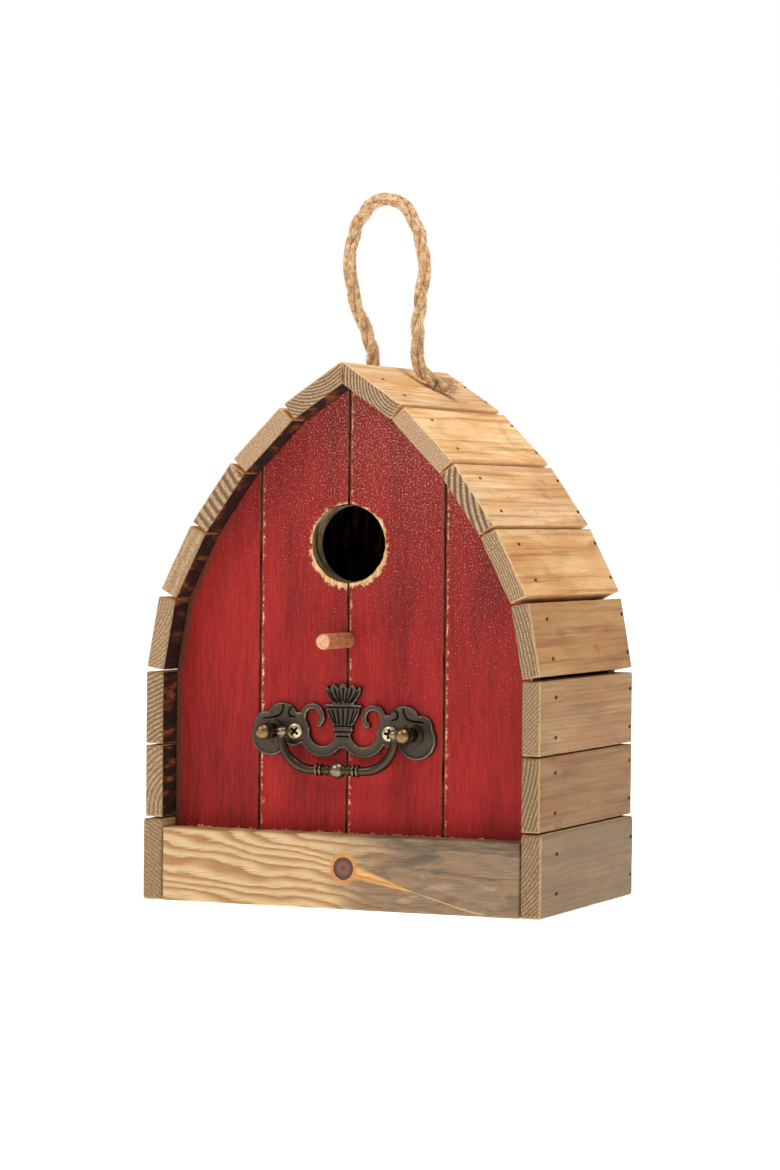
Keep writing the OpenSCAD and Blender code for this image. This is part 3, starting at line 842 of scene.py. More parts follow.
# %% Each slat's own wood
# side, slat: pith (up the slat, out of it) mm, ring mm, grey, saw, brightness (own tone and painted light),
# bold ends, knots
SLAT_WOOD = {
    ("left", 1): ((3, -13), 1.9, 0.15, 0.05, 0.7, 0.7, 0.2),
    ("left", 2): ((-48, -30), 1.7, 0.25, 0.1, 0.72, 0.85, 0.2),
    ("left", 3): ((26, 26), 1.3, 0.3, 0.0, 0.85, 0.5, 0.2),
    ("left", 4): ((14, -90), 3.4, 0.2, 0.0, 1.0, 0.35, 0.1),
    ("left", 5): ((66, -24), 3.3, 0.1, 0.0, 1.0, 1.0, 0.1),
    ("left", 6): ((10, -70), 1.1, 0.0, 0.0, 1.0, 0.25, 0.1),
    ("left", 7): ((22, -34), 1.25, 0.1, 0.0, 1.0, 0.95, 0.2),
    ("right", 1): ((30, -60), 1.5, 0.35, 0.2, 0.47, 0.85, 0.8),
    ("right", 2): ((62, -44), 1.2, 0.45, 0.35, 0.67, 0.6, 0.45),
    ("right", 3): ((8, -75), 1.25, 0.1, 0.05, 0.6, 0.8, 0.6),
    ("right", 4): ((12, -88), 1.05, 0.0, 0.0, 1.0, 0.85, 0.3),
    ("right", 5): ((-8, 36), 2.5, 0.25, 0.0, 1.25, 1.15, 0.8),
    ("right", 6): ((16, -80), 1.0, 0.0, 0.0, 1.24, 0.4, 0.1),
    ("right", 7): ((4, -42), 1.3, 0.3, 0.0, 1.3, 1.0, 0.15),
}
print("slat woods:", len(SLAT_WOOD))

# %% Build the slats
def mark_inside(piece, inward):
    """Marks the faces that look into the recess, for the torch marks and their painted shade."""
    values = []
    for face in piece.data.polygons:
        flat = Vector((face.normal.x, face.normal.z))
        values.append(1.0 if flat.dot(inward) > 0.8 and abs(face.normal.y) < 0.5 else 0.0)
    store(piece, "torch_and_shade", values, "FLOAT", "FACE")


slats = []
for (side, number), (heart, ring, grey, saw, bright, bold, knots) in SLAT_WOOD.items():
    node = f"{side}_slat_{number}"
    outline, start, end = node_outline(node)
    low, up, out, inner = slat_frame(outline)
    seed = number + (10 if side == "left" else 0)
    slat = board(node + "_sanded", outline, start, end, corner=0.65, ease=1.05, seed=seed)
    shift = STAGGER if side == "right" else -STAGGER
    thick = max((p - low).dot(out) for p in outline)
    cut(slat, pocket_cutter([
        (in_space(low + up * s + out * thick, y + shift), in_space(out), in_space(up))
        for y in (FRONT_ROW, BACK_ROW) for s in (BRAD_INSET, inner - BRAD_INSET)]))
    smooth(slat)
    pith = in_space(low + up * heart[0] + out * heart[1], -340.0 * number)
    across = in_space(up) if side == "right" else -in_space(up)
    set_grain(slat, (0, 1, 0.01 * (number - 4)), across, pith, (ring, grey, saw), (bright, bold, knots))
    mark_inside(slat, -out)
    dress(slat, SLAT_PINE, "house", "slat_pine", node)
    slats.append(slat)
print("slats:", len(slats), "points in the first:", len(slats[0].data.vertices))

# %% [markdown]
# ## Base and floor
# The base is a low box: two side boards with their grain front to back, a
# thick board across the front, and a floor. The side boards are the most
# weathered of all, brown-grey, with the ridges of a coarse saw.

# %% Base side boards and floor
BASE_WOOD = {
    "base_side_left": ((-40, 30), 1.5, 0.8, 0.7, 0.8, 0.5, 0.5),
    "base_side_right": ((44, -38), 1.35, 0.85, 0.9, 0.77, 0.7, 0.6),
}
for node, (heart, ring, grey, saw, bright, bold, knots) in BASE_WOOD.items():
    outline, start, end = node_outline(node)
    side = 1 if node.endswith("right") else -1
    low = Vector((side * min(abs(p.x) for p in outline), min(p.y for p in outline)))
    thick = max(abs(p.x) for p in outline) - abs(low.x)
    tall = max(p.y for p in outline) - low.y
    plank = board(node + "_sanded", outline, start, end, corner=1.3, ease=1.3, seed=20 + side)
    cut(plank, pocket_cutter([
        (Vector((side * (abs(low.x) + thick), y + STAGGER * side, z)), Vector((side, 0, 0)), UPWARDS)
        for y in (FRONT_ROW, BACK_ROW) for z in (BRAD_INSET + 2, tall - BRAD_INSET - 2)]))
    smooth(plank)
    set_grain(plank, (0, 1, 0.02), UPWARDS, (side * (80 + heart[1]), -500 * side, heart[0]),
              (ring, grey, saw), (bright, bold, knots))
    dress(plank, BASE_PINE, "house", "base_pine", node)

outline, start, end = node_outline("floor_board")
floor = board("floor_board_sawn", outline, start, end, corner=0.5, ease=0.5, seed=31)
set_grain(floor, (1, 0, 0), LENGTHWISE, (200, 10, -40), (2.2, 0.3, 0.8), (0.95, 0.6, 0.4))
dress(floor, FLOOR_PINE, "house", "back_pine", "floor_board")
print("base sides and floor made")

# %% [markdown]
# ## The board across the front
# This is one clear piece of knotty pine. On the left the saw has run almost
# along the rings, so they spread into broad waves that slope down to the
# right. A dead knot sits in the middle with resin-orange wood round it, and
# the right half has gone blue-grey with sap stain. The pattern is drawn in the
# board's own millimetres, because the knot has one place on it.

# %% Rings, sap stain and resin
KNOT_X, KNOT_Z, KNOT_R = 2.6, 16.0, 4.0


def rings_round_knot(tree, x, z, reach, wander, fibre):
    """Latewood lines that slope down to the right and part round the knot."""
    slope = add(tree, "Math", {0: x, 1: 0.16, 2: z}, operation="MULTIPLY_ADD")
    swung = add(tree, "Math", {0: wander, 1: 17.0, 2: slope}, operation="MULTIPLY_ADD")
    spread = add(tree, "Math", {0: reach, 1: 3.0}, operation="ADD")
    push = add(tree, "Math", {0: z, 1: spread}, operation="DIVIDE")
    parted = add(tree, "Math", {0: push, 1: 5.5, 2: swung}, operation="MULTIPLY_ADD")
    years = add(tree, "Math", {0: parted, 1: 0.21}, operation="MULTIPLY")
    frayed = add(tree, "Math", {0: fibre, 1: 0.45, 2: years}, operation="MULTIPLY_ADD")
    year = add(tree, "Math", {0: frayed}, operation="FRACT")
    return add(tree, "ValToRGB", {"Fac": year}, stops=[
        (0.0, 0.2), (0.2, 0.0), (0.4, 0.12), (0.72, 0.8), (0.88, 1.0), (1.0, 0.2)])


def sap_stained(tree, place, x, wander, late):
    """Cream wood on the left, and blue-grey and brown clouds on the right."""
    cream = add(tree, "MixRGB", {"Fac": late, "Color1": "#D3B688", "Color2": "#A27242"})
    cloud = drawn_out(tree, place, (0.035, 0.1, 0.16), 5.0, 0.6, Distortion=0.8)
    sap = add(tree, "ValToRGB", {"Fac": cloud}, stops=[
        (0.34, "#5A4C3C"), (0.45, "#7E6A52"), (0.52, "#9C7B58"), (0.6, "#7F715E"), (0.7, "#B09270")])
    sap_rings = add(tree, "MixRGB", {"Fac": late, "Color1": sap, "Color2": "#7A5C3E"})
    sap_soft = add(tree, "MixRGB", {"Fac": 0.45, "Color1": sap, "Color2": sap_rings})
    edge = add(tree, "Math", {0: wander, 1: 70.0, 2: x}, operation="MULTIPLY_ADD")
    stained = add(tree, "MapRange", {"Value": edge, "From Min": 28.0, "From Max": 52.0})
    return add(tree, "MixRGB", {"Fac": stained.outputs["Result"], "Color1": cream, "Color2": sap_soft})


def resin_wedged(tree, x, z, late, colour):
    """A wedge of resin wood runs from the knot to the right."""
    drop = add(tree, "Math", {0: x, 1: 0.27, 2: z}, operation="MULTIPLY_ADD")
    off = add(tree, "Math", {0: drop}, operation="ABSOLUTE")
    width = add(tree, "MapRange", {"Value": x, "From Min": 2.0, "From Max": 29.0, "To Min": 2.9,
                                   "To Max": 0.0})
    not_zero = add(tree, "Math", {0: width.outputs["Result"], 1: 0.2}, operation="ADD")
    ratio = add(tree, "Math", {0: off, 1: not_zero}, operation="DIVIDE")
    wedge = add(tree, "MapRange", {"Value": ratio, "From Min": 1.15, "From Max": 0.5})
    right = add(tree, "MapRange", {"Value": x, "From Min": 1.0, "From Max": 4.0})
    resin = add(tree, "Math", {0: wedge.outputs["Result"], 1: right.outputs["Result"]}, operation="MULTIPLY")
    resin_tone = add(tree, "MixRGB", {"Fac": late, "Color1": "#E5AE66", "Color2": "#C07F3C"})
    return add(tree, "MixRGB", {"Fac": resin, "Color1": colour, "Color2": resin_tone})


def knotted(tree, reach, fibre, colour):
    """The knot: a dark heart, a darker outline and an orange ring."""
    jagged = add(tree, "Math", {0: fibre, 1: 0.9, 2: reach}, operation="MULTIPLY_ADD")
    ring = add(tree, "MapRange", {"Value": jagged, "From Min": KNOT_R + 2.7, "From Max": KNOT_R + 1.4})
    ringed = add(tree, "MixRGB", {"Fac": ring.outputs["Result"], "Color1": colour, "Color2": "#C98A48"})
    share = add(tree, "Math", {0: jagged, 1: KNOT_R + 1.0}, operation="DIVIDE")
    knot_tone = add(tree, "ValToRGB", {"Fac": share}, stops=[
        (0.15, "#5C3A2B"), (0.45, "#7B5240"), (0.7, "#5A3A2D"), (0.9, "#38221A"), (1.0, "#2E1B14")])
    heart = add(tree, "MapRange", {"Value": jagged, "From Min": KNOT_R + 0.75, "From Max": KNOT_R + 0.45})
    return add(tree, "MixRGB", {"Fac": heart.outputs["Result"], "Color1": ringed, "Color2": knot_tone})


print("knot at", (KNOT_X, KNOT_Z), "radius", KNOT_R)

# %% Knotty pine and its board
def knotty_pine():
    finish, tree, shader = new_finish("knotty pine apron")
    place = in_mm(tree, add(tree, "TexCoord"))
    # distance from the knot, squeezed so that the knot is a little taller
    from_knot = add(tree, "VectorMath", {0: place, 1: (KNOT_X, 0, KNOT_Z)}, operation="SUBTRACT")
    squeezed = add(tree, "VectorMath", {0: from_knot, 1: (1.0, 0.0, 0.93)}, operation="MULTIPLY")
    reach = add(tree, "VectorMath", {0: squeezed}, operation="LENGTH").outputs["Value"]
    parts = add(tree, "SeparateXYZ", {0: from_knot})
    x, z = parts.outputs["X"], parts.outputs["Z"]
    wander = drawn_out(tree, place, (0.022, 0.02, 0.075), 2.0)
    fibre = drawn_out(tree, place, (0.13, 1.0, 2.6), 3.0, 0.65)
    late = rings_round_knot(tree, x, z, reach, wander, fibre)
    wood = resin_wedged(tree, x, z, late, sap_stained(tree, place, x, wander, late))
    streak = add(tree, "ValToRGB", {"Fac": fibre}, stops=[(0.32, 0.6), (0.5, 0.95), (0.68, 1.1)])
    colour = add(tree, "MixRGB", {"Fac": 0.9, "Color1": knotted(tree, reach, fibre, wood),
                                  "Color2": streak}, blend_type="MULTIPLY")
    height = add(tree, "Math", {0: late, 1: 0.3, 2: fibre}, operation="MULTIPLY_ADD")
    put(tree, shader, Base_Color=colour, Roughness=0.6,
        Normal=add(tree, "Bump", {"Height": height, "Strength": 0.45, "Distance": 0.0002}))
    return finish


outline, start, end = node_outline("base_front_board")
apron = board("base_front_board_sanded", outline, start, end, corner=0.9, ease=0.9, seed=33)
dress(apron, knotty_pine(), "house", "apron_pine", "base_front_board")
print("apron", [round(v, 1) for v in (start, end)])

# %% [markdown]
# ## Red milk paint, rubbed back
# The panel's four boards were brushed with flat red paint and then sanded, so
# that bare wood shows where the sandpaper catches: round the hole, down one
# edge of each seam and along the foot. Grit leaves pale specks, most of them
# high on the right. A brown margin was never painted along the left wall. Each
# of these is a distance in millimetres, to the hole, the seams, the foot or
# the arch, with noise that makes its edge ragged.

# %% The panel's places
SEAMS = (-39.0, -1.5, 39.0)
HOLE_X, HOLE_Z, HOLE_R = -1.5, 141.6, 15.0
FOOT_Z = 28.8
SEAM_GAP = 0.5

panel_points = []
for number in (1, 2, 3, 4):
    panel_points += node_outline(f"front_board_{number}")[0]
ARCH = hull([tuple(p) for p in panel_points])


def least(tree, values):
    """The smallest of several sockets."""
    low = values[0]
    for value in values[1:]:
        low = add(tree, "Math", {0: low, 1: value}, operation="MINIMUM")
    return low


def arch_distance(tree, place, side):
    """How far inside one side of the arch a point is, in mm."""
    found = []
    for i, a in enumerate(ARCH):
        b = ARCH[(i + 1) % len(ARCH)]
        middle = (a + b) / 2
        if abs(a.y - b.y) < 1 or middle.x * side < 0:
            continue
        inward = Vector((-(b - a).y, (b - a).x)).normalized()
        along = add(tree, "VectorMath", {0: place, 1: (inward.x, 0, inward.y)}, operation="DOT_PRODUCT")
        found.append(add(tree, "Math", {0: along.outputs["Value"], 1: -inward.dot(a)}, operation="ADD"))
    return least(tree, found)


def seam_distance(tree, x):
    away = []
    for seam in SEAMS:
        off = add(tree, "Math", {0: x, 1: seam}, operation="SUBTRACT")
        away.append(add(tree, "Math", {0: off}, operation="ABSOLUTE"))
    return least(tree, away)


print("arch corners:", len(ARCH))

# %% Brushed red
def brushed_red(tree, place, x, z, streaks, grit):
    """The paint itself: streaked, scuffed, and pale with specks at the top."""
    broad = drawn_out(tree, place, (0.07, 0.07, 0.012), 3.0)
    tone = add(tree, "Math", {0: streaks, 1: broad}, operation="ADD")
    half = add(tree, "Math", {0: tone, 1: 0.5}, operation="MULTIPLY")
    red = add(tree, "ValToRGB", {"Fac": half}, stops=[
        (0.32, "#601113"), (0.44, "#881918"), (0.54, "#9F201E"), (0.68, "#AE2B26")])
    # dark scuffs run down the boards
    scuffs = drawn_out(tree, place, (0.33, 0.3, 0.022), 5.0, 0.7)
    scuffed = add(tree, "ValToRGB", {"Fac": scuffs}, stops=[(0.58, 0.0), (0.76, 0.6)])
    dark_red = add(tree, "MixRGB", {"Fac": scuffed, "Color1": red, "Color2": "#5E2A24"})
    # pale specks, thicker high up and to the right
    high = add(tree, "Math", {0: z, 1: 0.0065, 2: -0.52}, operation="MULTIPLY_ADD")
    amount = add(tree, "Math", {0: x, 1: 0.0035, 2: high}, operation="MULTIPLY_ADD")
    above = add(tree, "Math", {0: amount, 1: 0.0}, operation="MAXIMUM")
    limit = add(tree, "Math", {0: above, 1: 0.9}, operation="MINIMUM")
    cut_off = add(tree, "Math", {0: limit, 1: -0.165, 2: 0.65}, operation="MULTIPLY_ADD")
    over = add(tree, "Math", {0: grit, 1: cut_off}, operation="SUBTRACT")
    specks = add(tree, "Math", {0: over, 1: 9.0}, operation="MULTIPLY", use_clamp=True)
    # the paint is thinner and duller there as well
    thinner = add(tree, "Math", {0: limit, 1: 0.5}, operation="MULTIPLY")
    dull_red = add(tree, "MixRGB", {"Fac": thinner, "Color1": dark_red, "Color2": "#6A201C"})
    shown = add(tree, "Math", {0: specks, 1: 0.9}, operation="MULTIPLY")
    return add(tree, "MixRGB", {"Fac": shown, "Color1": dull_red, "Color2": "#DCA794"})


print("brushed red ready")

# %% Where the paint is rubbed through
def rim_wear(tree, place, ragged):
    """Wear round the entrance, wider below than above."""
    at_hole = add(tree, "VectorMath", {0: place, 1: (HOLE_X, 0, HOLE_Z)}, operation="SUBTRACT")
    flat = add(tree, "VectorMath", {0: at_hole, 1: (1.0, 0.0, 1.0)}, operation="MULTIPLY")
    radius = add(tree, "VectorMath", {0: flat}, operation="LENGTH").outputs["Value"]
    rim = add(tree, "Math", {0: radius, 1: -HOLE_R - 1.5}, operation="ADD")
    height = add(tree, "SeparateXYZ", {0: flat}).outputs["Z"]
    low_rim = add(tree, "Math", {0: height, 1: 0.05, 2: rim}, operation="MULTIPLY_ADD")
    return add(tree, "Math", {0: low_rim, 1: ragged}, operation="ADD")


def seam_wear(tree, x, seam, ragged):
    """Wear on the right-hand edge of one seam."""
    past = add(tree, "Math", {0: x, 1: -seam - SEAM_GAP - 0.55}, operation="ADD")
    # to the left of the seam the distance grows thirty times as fast
    before = add(tree, "Math", {0: past, 1: -30.0}, operation="MULTIPLY")
    one_side = add(tree, "Math", {0: past, 1: before}, operation="MAXIMUM")
    return add(tree, "Math", {0: ragged, 1: 0.8, 2: one_side}, operation="MULTIPLY_ADD")


def bare_wood(tree, place, x, z, grit, ragged):
    """1 where the paint is gone; each term falls below zero there."""
    worn = [rim_wear(tree, place, ragged)]
    worn += [seam_wear(tree, x, seam, ragged) for seam in SEAMS]
    foot = add(tree, "Math", {0: z, 1: -FOOT_Z + 0.4}, operation="ADD")
    worn.append(add(tree, "Math", {0: foot, 1: ragged}, operation="ADD"))
    worn.append(add(tree, "Math", {0: arch_distance(tree, place, 1), 1: ragged}, operation="ADD"))
    fine = add(tree, "Math", {0: grit, 1: 2.0, 2: -1.0}, operation="MULTIPLY_ADD")
    near = add(tree, "Math", {0: least(tree, worn), 1: fine}, operation="ADD")
    return add(tree, "MapRange", {"Value": near, "From Min": 0.35, "From Max": -0.25}).outputs["Result"]


def brown_margin(tree, place, z, ragged):
    """1 on the unpainted margin down the left wall."""
    softly = add(tree, "Math", {0: ragged, 1: 0.5}, operation="MULTIPLY")
    margin_in = add(tree, "Math", {0: arch_distance(tree, place, -1), 1: softly}, operation="ADD")
    low = add(tree, "MapRange", {"Value": z, "From Min": 165.0, "From Max": 115.0})
    wide = add(tree, "MapRange", {"Value": margin_in, "From Min": 3.0, "From Max": 2.3})
    return add(tree, "Math", {0: wide.outputs["Result"], 1: low.outputs["Result"]}, operation="MULTIPLY")


print("wear ready for", len(SEAMS), "seams")

# %% Barn-red paint
def sawn_edges(tree, place, facing, grit, front):
    """The sides and the hole's wall are sawn, layered and dusty."""
    layers = drawn_out(tree, place, (0.1, 0.9, 0.1), 3.0)
    wall = add(tree, "ValToRGB", {"Fac": layers}, stops=[
        (0.34, "#2E241A"), (0.46, "#6E5D46"), (0.56, "#A18C6B"), (0.68, "#5B4A36")])
    forward = add(tree, "Math", {0: facing.outputs["Y"], 1: -1.0}, operation="MULTIPLY")
    ahead = add(tree, "Math", {0: grit, 1: 0.25, 2: forward}, operation="MULTIPLY_ADD")
    on_front = add(tree, "MapRange", {"Value": ahead, "From Min": 0.6, "From Max": 0.85})
    return add(tree, "MixRGB", {"Fac": on_front.outputs["Result"], "Color1": wall, "Color2": front})


def rubbed_red_paint():
    finish, tree, shader = new_finish("rubbed red milk paint on pine")
    coords = add(tree, "TexCoord")
    place = in_mm(tree, coords)
    parts = add(tree, "SeparateXYZ", {0: place})
    x, z = parts.outputs["X"], parts.outputs["Z"]
    facing = add(tree, "SeparateXYZ", {0: coords.outputs["Normal"]})
    # brush and grain streaks: 0.5 mm wide and 15 mm long
    streaks = drawn_out(tree, place, (1.7, 1.7, 0.1), 4.0, 0.65)
    # grit: specks half a millimetre wide
    grit = add(tree, "TexNoise", {"Vector": place, "Scale": 1.5, "Detail": 3.0, "Roughness": 0.7})
    chips = add(tree, "TexNoise", {"Vector": place, "Scale": 0.42, "Detail": 4.0, "Roughness": 0.7})
    ragged = add(tree, "Math", {0: chips, 1: 7.0, 2: -3.5}, operation="MULTIPLY_ADD")
    paint = brushed_red(tree, place, x, z, streaks, grit)
    bare = bare_wood(tree, place, x, z, grit, ragged)
    raw = add(tree, "ValToRGB", {"Fac": streaks}, stops=[
        (0.3, "#A9713E"), (0.5, "#DDB27A"), (0.7, "#F3DDB2")])
    rubbed = add(tree, "MixRGB", {"Fac": bare, "Color1": paint, "Color2": raw})
    brown = add(tree, "ValToRGB", {"Fac": grit}, stops=[
        (0.35, "#4A1C11"), (0.52, "#6B3624"), (0.68, "#8A5636")])
    margined = add(tree, "MixRGB", {"Fac": brown_margin(tree, place, z, ragged), "Color1": rubbed,
                                    "Color2": brown})
    # no brush reached the bottom of the grooves; it is painted near black, as painted shade
    groove_shade = add(tree, "MapRange", {"Value": seam_distance(tree, x), "From Min": SEAM_GAP + 0.02,
                                       "From Max": SEAM_GAP - 0.1})
    front = add(tree, "MixRGB", {"Fac": groove_shade.outputs["Result"], "Color1": margined, "Color2": "#20130D"})
    sheen = add(tree, "MapRange", {"Value": grit, "To Min": 0.5, "To Max": 0.8})
    relief = add(tree, "Math", {0: streaks, 1: 0.8, 2: grit}, operation="MULTIPLY_ADD")
    step = add(tree, "Math", {0: bare, 1: -0.5, 2: relief}, operation="MULTIPLY_ADD")
    put(tree, shader, Base_Color=sawn_edges(tree, place, facing, grit, front),
        Roughness=sheen.outputs["Result"], Specular_IOR_Level=0.22,
        Normal=add(tree, "Bump", {"Height": step, "Strength": 0.6, "Distance": 0.0003}))
    return finish


RED_PAINT = rubbed_red_paint()
print("finish:", RED_PAINT.name)

# %% [markdown]
# ## Front panel
# Four upright boards butt together, with a narrow groove run down each seam,
# so that a real dark line shows between them and no daylight comes through.
# The entrance was bored after the boards were together. Its rim is slightly
# flared and uneven, as a hole saw leaves it.

# %% Bores and grooves
PERCH_X, PERCH_Z, PERCH_R = -1.5, 104.0, 3.1
GROOVE_DEEP = 4.5
BELOW_HOUSE, ABOVE_HOUSE = -3, 240


def bore(radius, x, z, y_front, y_back, flare=0.5, ragged=0.12, sides=96):
    """A cutter along Y with a flared, uneven mouth at its front end."""
    stations = [(y_front - 2, flare * 3), (y_front, flare), (y_front + 0.5, flare * 0.35),
                (y_front + 1.4, 0), (y_back + 2, 0)]
    points = []
    for y, wider in stations:
        for k in range(sides):
            turn = math.tau * k / sides
            bump = ragged * noise.noise(Vector((math.cos(turn) * 6, math.sin(turn) * 6, radius)))
            r = radius + wider * (1 + bump * 4) + bump
            points.append((x + r * math.cos(turn), y, z + r * math.sin(turn)))
    return make_piece("bore", points, ring_faces(len(stations), sides))


def groove(plank, outline, seams, y_from, y_to):
    """Runs a groove down each seam that this board has."""
    for seam in seams:
        if any(abs(p.x - seam) < 0.3 for p in outline):
            corners = [(seam + sx * SEAM_GAP, y, z) for z in (BELOW_HOUSE, ABOVE_HOUSE)
                       for sx, y in ((-1, y_from), (1, y_from), (1, y_to), (-1, y_to))]
            cut(plank, make_piece("groove", corners, BOX_FACES))


print("grooves, mm:", 2 * SEAM_GAP, "wide", GROOVE_DEEP, "deep")

# %% Front boards, entrance and perch hole
for number in (1, 2, 3, 4):
    node = f"front_board_{number}"
    outline, start, end = node_outline(node)
    plank = board(node + "_painted", outline, start, end, corner=0.3, ease=0.55, rough=0.06,
                  seed=40 + number)
    groove(plank, outline, SEAMS, start - 2, start + GROOVE_DEEP)
    if number in (2, 3):
        cut(plank, bore(HOLE_R, HOLE_X, HOLE_Z, start, end))
        cut(plank, bore(PERCH_R, PERCH_X, PERCH_Z, start, end, flare=0.15, ragged=0.05, sides=48))
    smooth(plank)
    dress(plank, RED_PAINT, "house", "red_painted_pine", node)
print("front boards from y", round(start, 1), "to", round(end, 1))

# %% [markdown]
# ## Back panel
# Three sawn boards close the back, with the clean-out hole in the middle one.
# Nobody sands a back, so they keep their saw marks. Their faces towards the
# nest are painted near black, as the shade inside it.

# %% Back boards
BACK_SEAMS = (-25.0, 25.0)
CLEAN_X, CLEAN_Z, CLEAN_R = 0.0, 70.0, 19.0
for number, heart, ring in ((1, 30, 2.6), (2, -22, 3.0), (3, 16, 2.3)):
    node = f"back_board_{number}"
    outline, start, end = node_outline(node)
    plank = board(node + "_sawn", outline, start, end, corner=0.3, ease=0.5, rough=0.06, seed=50 + number)
    groove(plank, outline, BACK_SEAMS, end - GROOVE_DEEP, end + 2)
    if number == 2:
        cut(plank, bore(CLEAN_R, CLEAN_X, CLEAN_Z, start, end, flare=0, ragged=0.1))
    smooth(plank)
    middle = (number - 2) * 50
    set_grain(plank, (0.02, 0, 1), (1, 0, 0), (middle + heart * 0.3, start - 26, -900 * number),
              (ring, 0.35, 0.9), (0.96, 0.5, 0.5))
    # the faces looking into the nest get the dark torch colour, as painted shade
    facing_in = [1.0 if face.normal.y < -0.9 else 0.0 for face in plank.data.polygons]
    store(plank, "torch_and_shade", facing_in, "FLOAT", "FACE")
    dress(plank, BACK_PINE, "house", "back_pine", node)
print("back boards made")

# %% [markdown]
# ## Perch
# A short hardwood dowel, reddish brown on its sides and paler on its sawn and
# slightly broken end. The darker sides are partly the wood's colour and partly
# painted shade.

# %% Perch
low, high = (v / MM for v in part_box("perch"))
perch_length = high.y - low.y
profile = [(0.01, 0.25), (1.4, 0.15), (2.3, 0.0), (2.75, 0.12), (2.95, 0.4), (3.05, 0.9), (3.08, 1.6)]
profile += [(3.06 + 0.03 * math.sin(k * 1.7), 1.6 + (perch_length - 2.1) * k / 14) for k in range(1, 15)]
profile += [(2.6, perch_length)]
perch = make_piece("perch_dowel", *turned(profile, (PERCH_X, low.y, PERCH_Z), LENGTHWISE, 48))


def dowel_finish():
    finish, tree, shader = new_finish("hardwood dowel with shaded sides")
    coords = add(tree, "TexCoord")
    pores = drawn_out(tree, in_mm(tree, coords), (2.6, 0.25, 2.6), 3.0)
    # the sides are darker than the end: partly the wood's own colour, partly painted shade
    side = add(tree, "ValToRGB", {"Fac": pores}, stops=[
        (0.34, "#8A4F31"), (0.5, "#B87650"), (0.66, "#CF946A")])
    end = add(tree, "ValToRGB", {"Fac": pores}, stops=[(0.36, "#B57C55"), (0.6, "#E6B68F")])
    facing = add(tree, "SeparateXYZ", {0: coords.outputs["Normal"]})
    turn = add(tree, "Math", {0: facing.outputs["Y"], 1: -1.0}, operation="MULTIPLY")
    on_end = add(tree, "MapRange", {"Value": turn, "From Min": 0.45, "From Max": 0.75})
    colour = add(tree, "MixRGB", {"Fac": on_end.outputs["Result"], "Color1": side, "Color2": end})
    put(tree, shader, Base_Color=colour, Roughness=0.5,
        Normal=add(tree, "Bump", {"Height": pores, "Strength": 0.3, "Distance": 0.0002}))
    return finish


dress(perch, dowel_finish(), "house", "perch_dowel", "perch")
print("perch length, mm:", round(perch_length, 1))

# %% [markdown]
# ## Antique metals
# The pull is cast and turned brass, plated and then darkened in a bath. Its
# raised edges have been rubbed back afterwards, so they shine paler and
# warmer than the flats. The backplate went darkest, to a pewter brown, and the
# turned posts kept a bronze glow on their tips. Each point of a metal piece
# stores how rubbed it is, from -1 in a groove through 0 on a flat to 1 on an
# edge. In the plate's chased lines -1 is black wax; in the screws' cross
# recesses it is painted shade.

# %% Pewter, bronze, zinc, steel and tin
def rubbed_metal(name, dark, worn, roughness):
    """Dark plating over a paler metal, rubbed through where 'rub' is high."""
    finish, tree, shader = new_finish(name)
    place = add(tree, "TexCoord").outputs["Object"]
    rub = add(tree, "Attribute", attribute_name="rub").outputs["Fac"]
    # mottling about 1.5 mm across, and tooling marks of 0.2 mm
    mottle = add(tree, "TexNoise", {"Vector": place, "Scale": 700.0, "Detail": 4.0, "Roughness": 0.6})
    tooling = add(tree, "TexNoise", {"Vector": place, "Scale": 4500.0, "Detail": 2.0})
    uneven = add(tree, "Math", {0: mottle, 1: 0.9, 2: rub}, operation="MULTIPLY_ADD")
    through_plate = add(tree, "MapRange", {"Value": uneven, "From Min": 0.75, "From Max": 1.5})
    fine = add(tree, "MixRGB", {"Fac": tooling, "Color1": "#B8B0A4", "Color2": "#FFFFFF"})
    tone = add(tree, "MixRGB", {"Fac": through_plate.outputs["Result"], "Color1": dark, "Color2": worn})
    toned = add(tree, "MixRGB", {"Fac": 1.0, "Color1": tone, "Color2": fine}, blend_type="MULTIPLY")
    # below 0 a point lies in a groove: black wax in the plate's chased lines, painted shade in the screws'
    # cross recesses
    wax_and_shade = add(tree, "MapRange", {"Value": rub, "From Min": -0.1, "From Max": -0.8})
    colour = add(tree, "MixRGB", {"Fac": wax_and_shade.outputs["Result"], "Color1": toned, "Color2": "#120E0A"})
    rough = add(tree, "MapRange", {"Value": mottle, "To Min": roughness - 0.1, "To Max": roughness + 0.16})
    height = add(tree, "Math", {0: tooling, 1: 0.4, 2: mottle}, operation="MULTIPLY_ADD")
    put(tree, shader, Base_Color=colour, Metallic=1.0, Roughness=rough.outputs["Result"],
        Normal=add(tree, "Bump", {"Height": height, "Strength": 0.35, "Distance": 0.00012}))
    return finish


PEWTER = rubbed_metal("antique pewter plate", "#5A524A", "#B3A792", 0.42)
BRONZE = rubbed_metal("worn bronze plate", "#41382E", "#A08763", 0.36)
ZINC = rubbed_metal("yellow zinc screw", "#C9B98A", "#F3EAC6", 0.34)
BRAD_STEEL = rubbed_metal("dark brad steel", "#2A2522", "#544A42", 0.5)
WIRE_STEEL = rubbed_metal("dull steel wire", "#8A8176", "#B5AC9C", 0.5)
TIN = rubbed_metal("weathered tin sheet", "#8B8D8C", "#C9CBC9", 0.4)


# the brads keep their CAD shape, so only their finish changes
for node in ("left_slat_brads", "right_slat_brads", "base_brads"):
    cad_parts[node].data.materials.clear()
    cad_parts[node].data.materials.append(BRAD_STEEL)
print("metals:", [m.name for m in (PEWTER, BRONZE, ZINC, BRAD_STEEL, WIRE_STEEL, TIN)])

